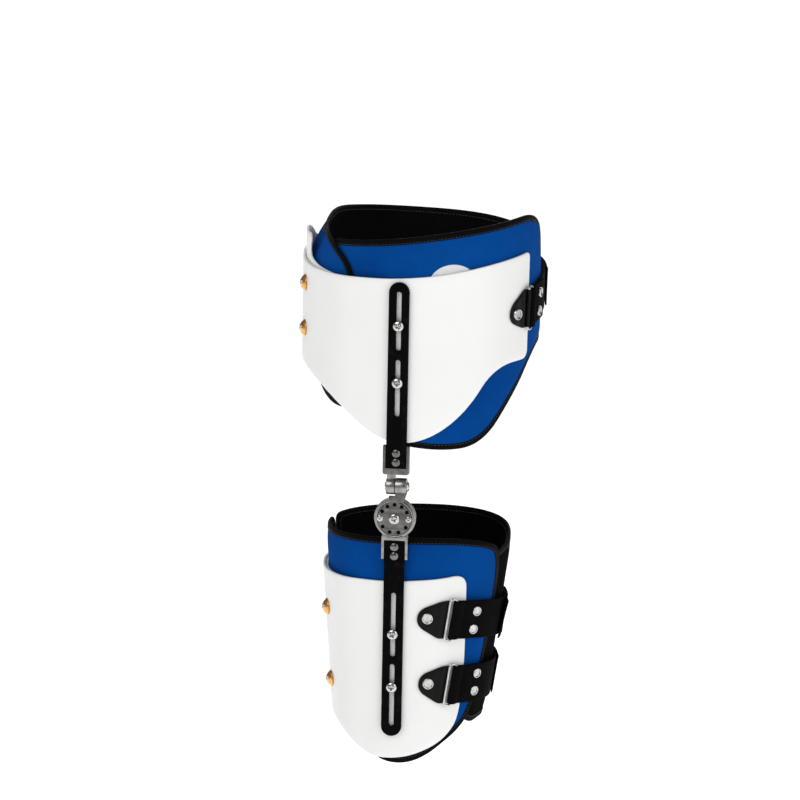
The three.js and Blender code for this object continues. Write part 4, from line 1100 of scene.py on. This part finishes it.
def cross_head(head, height, recess, base, place):
    """A screw head with a cross-shaped recess."""
    sides = 64
    radii = np.concatenate([[0.02], np.linspace(0.08, 1, 22)]) * head
    angles = np.linspace(0, 2 * math.pi, sides, endpoint=False)
    arm, width, depth = head * recess, head * 0.14, height * 0.75
    points = []
    for radius in radii:
        x, y = radius * np.cos(angles), radius * np.sin(angles)
        top = height * (0.3 + 0.7 * np.sqrt(np.maximum(0, 1 - (radius / head) ** 2.6)))
        cut = np.zeros(sides)
        for along, across in ((x, y), (y, x)):
            walls = ramp(np.abs(across), width * 1.35, width * 0.75)
            ends = ramp(np.abs(along), arm, arm * 0.8)
            cut = np.maximum(cut, walls * ends)
        points.append(np.stack([x, y, base + top - depth * cut * (1 - 0.35 * radius / arm)], 1))
    points.append(np.stack([head * np.cos(angles), head * np.sin(angles), np.full(sides, base)], 1))
    starts = range(0, len(points) * sides, sides)
    return placed(np.vstack(points), place), capped(starts, sides)


def add_fastener(node, head, shank, top, place, body, material=BRIGHT):
    """A head with its shank, which reaches up to top."""
    radius, low = shank
    tail = lathe([(0.001, low), (radius, low), (radius, top), (0.001, top)], place, 20)
    add_piece(node, merged("fastener", [head, tail]), [material], body)


def add_closure(prefix, suffix, body, wall, spec):
    z, lobe = spec["z"], spec["lobe"]
    face = spec["near"] + GAP + TAB["thick"]
    ring_place = wall.frame(spec["ring_at"] - RING["reach"] / 2 / wall.scale, z, face + GAP + RING["wire"])
    ring_place = ring_place @ Matrix.Rotation(-math.radians(spec["tilt"]), 4, "Z")
    tab = [tab_mesh(wall, spec)]
    if spec["rolled"]:
        tab.append(roll(ring_place))
    add_piece(f"{prefix}_tab{suffix}", merged("tab", tab), [LEATHER], body)
    lean = math.tan(math.radians(spec["tilt"])) / wall.scale
    rivet_at = spec["ring_at"] + TAB["rivet"] * spec["tab_size"] / wall.scale - lobe * lean
    place = wall.frame(rivet_at, z + lobe, face)
    head = lathe(cap(*TAB_RIVET["head"], GAP), place)
    add_fastener(f"{prefix}_tab_rivet{suffix}", head, TAB_RIVET["shank"], RIVET_SHANK_TOP, place, body)
    add_piece(f"{prefix}_ring{suffix}", ring_mesh(ring_place), [BRIGHT], body)
    route, lap = strap_route(wall, spec)
    leaning = lean * ramp(route[:, 0], spec["lap_end"], spec["edge"])
    strap = strap_mesh(wall, route, z - strap_drop(spec, route[:, 0]), leaning)
    add_piece(f"{prefix}_strap{suffix}", strap, [WEBBING], body)
    for i, (row_at, up) in enumerate(spec["rivets"]):
        at = row_at - up * lean * float(ramp(row_at, spec["lap_end"], spec["edge"]))
        top = float(lap(row_at)) + STRAP["thick"] / 2
        place = wall.frame(at, z + up - float(strap_drop(spec, at)), top)
        head = lathe(cap(*STRAP_RIVET["head"], 0.05), place)
        node = f"{prefix}_strap_rivet{suffix}_{i + 1}"
        add_fastener(node, head, STRAP_RIVET["shank"], RIVET_SHANK_TOP, place, body)
    loop = loop_mesh(wall.frame(spec["far_at"], z - spec["drop"], spec["far"]))
    add_piece(f"{prefix}_far_loop{suffix}", loop, [BLACK_METAL], body)


def add_closures():
    pelvic = {
        "far_edge": -42, "far_at": -47, "near": PELVIS_FACE, "pad": PELVIS_PAD, "far": PELVIS_FAR_FACE,
        "tab_size": 0.73, "lobe": -4, "tilt": 3, "rolled": True, "level_from": 15,
        "z": 11.5, "ring_at": 45.2, "edge": 42.2, "lap_end": 26, "flap_end": 4, "drop": -6, "flare": 0.5,
        "rivets": [(32, 9.5), (33, -10)],
    }
    add_closure("pelvic", "", "pelvis", PELVIS, pelvic)
    thigh = {
        "far_edge": -35, "far_at": -43, "near": THIGH_FACE, "pad": THIGH_PAD, "far": THIGH_FAR_FACE,
        "tab_size": 0.92, "lobe": 2, "tilt": 4.5, "rolled": False, "level_from": -10,
    }
    upper = {
        "z": -322.7, "ring_at": 70.3, "edge": 56.4, "lap_end": 42, "flap_end": 23, "drop": 13, "flare": 3,
        "rivets": [(51.2, 9.5), (51.8, -10.5)],
    }
    lower = {
        "z": -395.5, "ring_at": 67, "edge": 53.6, "lap_end": 36, "flap_end": 4, "drop": 8, "flare": 0.5,
        "rivets": [(45.1, 11), (45.2, -8.5)],
    }
    add_closure("thigh", "_1", "thigh", THIGH, {**thigh, **upper})
    add_closure("thigh", "_2", "thigh", THIGH, {**thigh, **lower})


def add_back_screws(prefix, body, wall, table, outer):
    base, top, height = CUP["base"], CUP["top"], CUP["height"]
    cup = [
        (3, GAP), (base - 0.4, GAP), (base, GAP + 0.4), (base - 0.1, 1.1), (base - 0.6, 1.6),
        (top + 0.5, height - 0.4), (top, height), (top - 0.5, height - 0.1), (3, height - 1.4),
    ]
    for i, z in enumerate(table["heights"]):
        place = wall.frame(table["at"], z, float(outer(table["at"])))
        add_piece(f"{prefix}_cup_{i + 1}", merged("cup", [lathe(cup, place, 48)]), [COPPER], body)
        head = cross_head(*BACK_SCREW["head"], height - 0.9, place)
        add_fastener(f"{prefix}_back_screw_{i + 1}", head, BACK_SCREW["shank"], height, place, body)


# Side bar and hinge


def bar_mesh(bar):
    """A flat bar with slots, round at its free end and square at the hinge."""
    half, end, low, high = BAR["width"] / 2, BAR["end"], bar["low"], bar["high"]
    loop = stadium(-half, half, low, high, end)
    if low > 0:
        loop = [(x, y) for x, y in loop if y > low + end + 1] + [(-half, low), (half, low)]
    else:
        keep = [(x, y) for x, y in loop if y < high - end - 1]
        first = max(range(len(keep)), key=lambda k: keep[k][1] if keep[k][0] < 0 else -math.inf)
        loop = keep[first:] + keep[:first] + [(half, high), (-half, high)]
    slot = BAR["slot"] / 2
    slots = [stadium(-slot, slot, a, b, slot - 0.01) for a, b in bar["slots"]]
    return merged("bar", [flat_plate([loop, *slots], 0, BAR["thick"], BAR["bevel"], HINGE)])


def channel_parts(spec):
    """The channel round a bar's end: a U-shaped rim and a back plate."""
    inside_x, outside_x, back, corner = (BRACKET[key] for key in ("inside", "outside", "back", "corner"))
    low, high, floor = spec["low"], spec["high"], spec["floor"]
    closed_end, open_end, way = (low, high, 1) if low > 0 else (high, low, -1)
    half = [
        (outside_x - corner, closed_end),
        (outside_x - corner * 0.3, closed_end + way * corner * 0.3),
        (outside_x, closed_end + way * corner),
        (outside_x, open_end),
        (inside_x, open_end),
        (inside_x, floor),
    ]
    rim = half + [(-x, y) for x, y in reversed(half)]
    plate = stadium(-outside_x, outside_x, low, high, 1.5, 4)
    return [flat_plate([rim], back, spec["rim"], 0.55, HINGE), flat_plate([plate], back, -GAP, 0.4, HINGE)]


def across_hinge():
    """A placing on the abduction pin's line, with z along the pin."""
    place = Matrix.Translation((0, KNUCKLE["y"], KNUCKLE["z"]))
    return HINGE @ place @ Matrix.Rotation(math.pi / 2, 4, "Y")


def lug(x0, x1):
    """A hinge knuckle: a round barrel along x, with softened edges."""
    radius, soft = KNUCKLE["radius"], 0.9
    rows = [(0.001, x0), (radius - soft, x0), (radius - 0.25, x0 + 0.25), (radius, x0 + soft)]
    rows += [(radius, x1 - soft), (radius - 0.25, x1 - 0.25), (radius - soft, x1), (0.001, x1)]
    return lathe(rows, across_hinge(), 56)


def add_hinge():
    for node, bar in (("upper_bar", UPPER_BAR), ("lower_bar", LOWER_BAR)):
        add_piece(node, bar_mesh(bar), [BLACK_METAL], node)
    knuckle_y, gap = KNUCKLE["y"], KNUCKLE["gap"]
    web = stadium(KNUCKLE["left"] + 0.4, -gap, knuckle_y, UPPER_BRACKET["low"] + 1, 0.6, 4)
    # The upper channel takes the darker steel, which is painted shade. Its knuckle and web take the lighter
    # steel, which is painted light.
    upper = channel_parts(UPPER_BRACKET)
    web_plate = flat_plate([web], BRACKET["back"], UPPER_BRACKET["rim"], 0.6, HINGE)
    upper += [with_slot(lug(KNUCKLE["left"], -gap), 1), with_slot(web_plate, 1)]
    add_piece("upper_bracket", merged("bracket", upper), [SHADED_STEEL, LIT_STEEL], "upper_bar")
    # The lower channel and the dial's rear disc take the lighter steel, which is painted light.
    rear = flat_plate([circle(0, 0, DIAL["rear_radius"], 96)], *DIAL["rear"], 0.9, HINGE)
    lower = channel_parts(LOWER_BRACKET) + [rear]
    add_piece("lower_bracket", merged("bracket", lower), [LIT_STEEL], "lower_bar")
    add_dial()
    add_hinge_pin()


def add_dial():
    holes = []
    for angle in DIAL_HOLES["angles"]:
        x = DIAL_HOLES["circle"] * math.cos(math.radians(angle))
        y = DIAL_HOLES["circle"] * math.sin(math.radians(angle))
        holes.append(circle(x, y, DIAL_HOLES["radius"], 24))
    low, high = DIAL["front"]
    face = flat_plate([circle(0, 0, DIAL["face_radius"], 96), *holes], low, high, 0.35, HINGE)
    rim_loops = [circle(0, 0, DIAL["radius"], 96), circle(0, 0, DIAL["face_radius"] + DIAL["groove"], 96)]
    rim = flat_plate(rim_loops, low, high - DIAL["step"], 0.3, HINGE)
    floor_loops = [circle(0, 0, DIAL["radius"] - 0.6, 96), circle(0, 0, DIAL_HOLES["circle"] - 3, 96)]
    floor = flat_plate(floor_loops, low + 0.1, high - DIAL_HOLES["depth"], 0.1, HINGE)
    right, knuckle_y, gap = KNUCKLE["right"], KNUCKLE["y"], KNUCKLE["gap"]
    neck = [
        (-7, NECK["low"]), (9.5, NECK["low"]), (right, NECK["shoulder"]), (right, knuckle_y),
        (gap, knuckle_y), (gap, NECK["ledge"]), (-6.4, NECK["ledge"]),
    ]
    neck_plate = flat_plate([neck], low, high, 0.5, HINGE)
    # The dial's face and neck take the darker steel, which is painted shade. Its rim and knuckle take the
    # lighter steel, which is painted light.
    parts = [face, with_slot(rim, 1), with_slot(lug(gap, right), 1), neck_plate, with_slot(floor, 2)]
    add_piece("dial_head", merged("dial", parts), [SHADED_STEEL, LIT_STEEL, DARK_HOLE], "dial")


def add_hinge_pin():
    left, right = KNUCKLE["left"] - GAP, KNUCKLE["right"] + GAP
    radius, head = PIN["radius"], PIN["head"]
    rows = [(0.001, left - 1.6), (2.4, left - 1.55), (3.8, left - 1.1), (PIN["foot"], left)]
    rows += [(radius, left), (radius, right), (head, right)]
    for share in np.linspace(0.15, 1, 8):
        angle = share * math.pi / 2
        rows.append((max(head * math.cos(angle), 0.001), right + PIN["dome"] * math.sin(angle)))
    add_piece("hinge_pin", merged("pin", [lathe(rows, across_hinge())]), [BRIGHT], "upper_bar")


def on_hinge(x, y, turn=0.0):
    """A placing on the hinge's plane, turned about its own z."""
    return HINGE @ Matrix.Translation((x, y, 0)) @ Matrix.Rotation(turn, 4, "Z")


def add_hinge_fasteners():
    face = BAR["thick"] + GAP
    table = (("upper", UPPER_BAR, "pelvis", "upper_bar"), ("lower", LOWER_BAR, "thigh", "lower_bar"))
    for prefix, bar, screw_body, rivet_body in table:
        for i, y in enumerate(bar["screws"]):
            place = on_hinge(0, y, PAN_SCREW["turn"] + i)
            head = cross_head(*PAN_SCREW["head"], face, place)
            add_fastener(f"{prefix}_bar_screw_{i + 1}", head, PAN_SCREW["shank"], face, place, screw_body)
        for i, y in enumerate(bar["rivets"]):
            place = on_hinge(0, y)
            head = lathe(dome(*BAR_RIVET["head"], face), place)
            add_fastener(f"{prefix}_rivet_{i + 1}", head, BAR_RIVET["shank"], face, place, rivet_body, GLOSSY)
    face = DIAL["front"][1] + GAP
    place = on_hinge(0, 0, CENTRE_SCREW["turn"])
    head = cross_head(*CENTRE_SCREW["head"], face, place)
    add_fastener("dial_screw", head, CENTRE_SCREW["shank"], face, place, "dial")
    for i, x in enumerate((DIAL_HOLES["circle"], -DIAL_HOLES["circle"])):
        place = on_hinge(x, 0, STOP_SCREW["turn"] + i)
        head = cross_head(*STOP_SCREW["head"], face, place)
        add_fastener(f"stop_screw_{i + 1}", head, STOP_SCREW["shank"], face, place, "dial")


def add_patch():
    """A plain round patch on the near pad, half under the shell."""
    x, z = PATCH["at"] * PELVIS.scale, PATCH["z"]
    outline = np.array(circle(x, z, PATCH["radius"], 90))
    base = PELVIS_PAD + 0.02
    mesh = shell_panel("patch", PELVIS, outline, even(base), even(base + PATCH["thick"]), 0.1, 3)
    mesh.materials.append(WHITE_PATCH)
    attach(put("look_round_patch", mesh), "pelvis")


# Stage


def add_camera():
    """The camera at the photograph's angle. Returns its axes as columns: right, up, back."""
    azimuth, elevation, lean = (math.radians(VIEW[key]) for key in ("azimuth", "elevation", "roll"))
    axes = Matrix.Rotation(azimuth, 3, "Z") @ Matrix.Rotation(math.pi / 2 - elevation, 3, "X")
    axes = axes @ Matrix.Rotation(lean, 3, "Z")
    across, down = ((pixel - FRAME_SIZE / 2) * VIEW["scale"] for pixel in TARGET_PIXEL)
    eye = VIEW_TARGET + axes @ Vector((-across, down, VIEW["distance"]))
    data = bpy.data.cameras.new("camera")
    data.sensor_width = SENSOR
    data.lens = SENSOR * VIEW["distance"] / (VIEW["scale"] * FRAME_SIZE)
    camera = put("camera", data)
    camera.matrix_world = Matrix.Translation(eye) @ axes.to_4x4()
    bpy.context.scene.camera = camera
    return axes


def add_light(name, way, size, power, axes):
    data = bpy.data.lights.new(name, "AREA")
    data.size = size
    data.energy = power
    place = axes @ Vector(way)
    turn = place.to_track_quat("Z", "Y").to_matrix().to_4x4()
    put(name, data).matrix_world = Matrix.Translation(STUDIO_MIDDLE + place) @ turn


def add_floor():
    size = FLOOR["size"]
    corners = [(-size, -size, 0), (size, -size, 0), (size, size, 0), (-size, size, 0)]
    mesh = make_mesh("floor", corners, [(0, 1, 2, 3)])
    values = {"Roughness": 0.9, "Specular IOR Level": 0.1, "Emission Strength": FLOOR["glow"]}
    material, tree, shader, place = new_material("pale_floor", values)
    shader.inputs["Emission Color"].default_value = (1, 1, 1, 1)
    shade = noise(tree, place, 0.8, 2)
    link(tree, shader, Base_Color=blend_colours(tree, shade, (0.9, 0.9, 0.9), (0.93, 0.93, 0.93)))
    mesh.materials.append(material)
    floor = put("floor", mesh)
    floor.location.z = FLOOR["z"]


def add_studio():
    scene = bpy.context.scene
    scene.world = bpy.data.worlds.new("studio")
    scene.world.use_nodes = True
    sky = scene.world.node_tree.nodes["Background"].inputs
    sky["Color"].default_value = (1, 1, 1, 1)
    sky["Strength"].default_value = WORLD_LIGHT
    axes = add_camera()
    for name, light in LIGHTS.items():
        add_light(name, **light, axes=axes)
    add_floor()
    scene.view_settings.view_transform = "Standard"


def main():
    add_studio()
    add_shells()
    add_pads()
    add_closures()
    add_back_screws("pelvic", "pelvis", PELVIS, PELVIS_BACK_SCREWS, PELVIS_SHELL_OUTER)
    add_back_screws("thigh", "thigh", THIGH, THIGH_BACK_SCREWS, THIGH_SHELL_OUTER)
    add_hinge()
    add_hinge_fasteners()
    add_patch()


main()
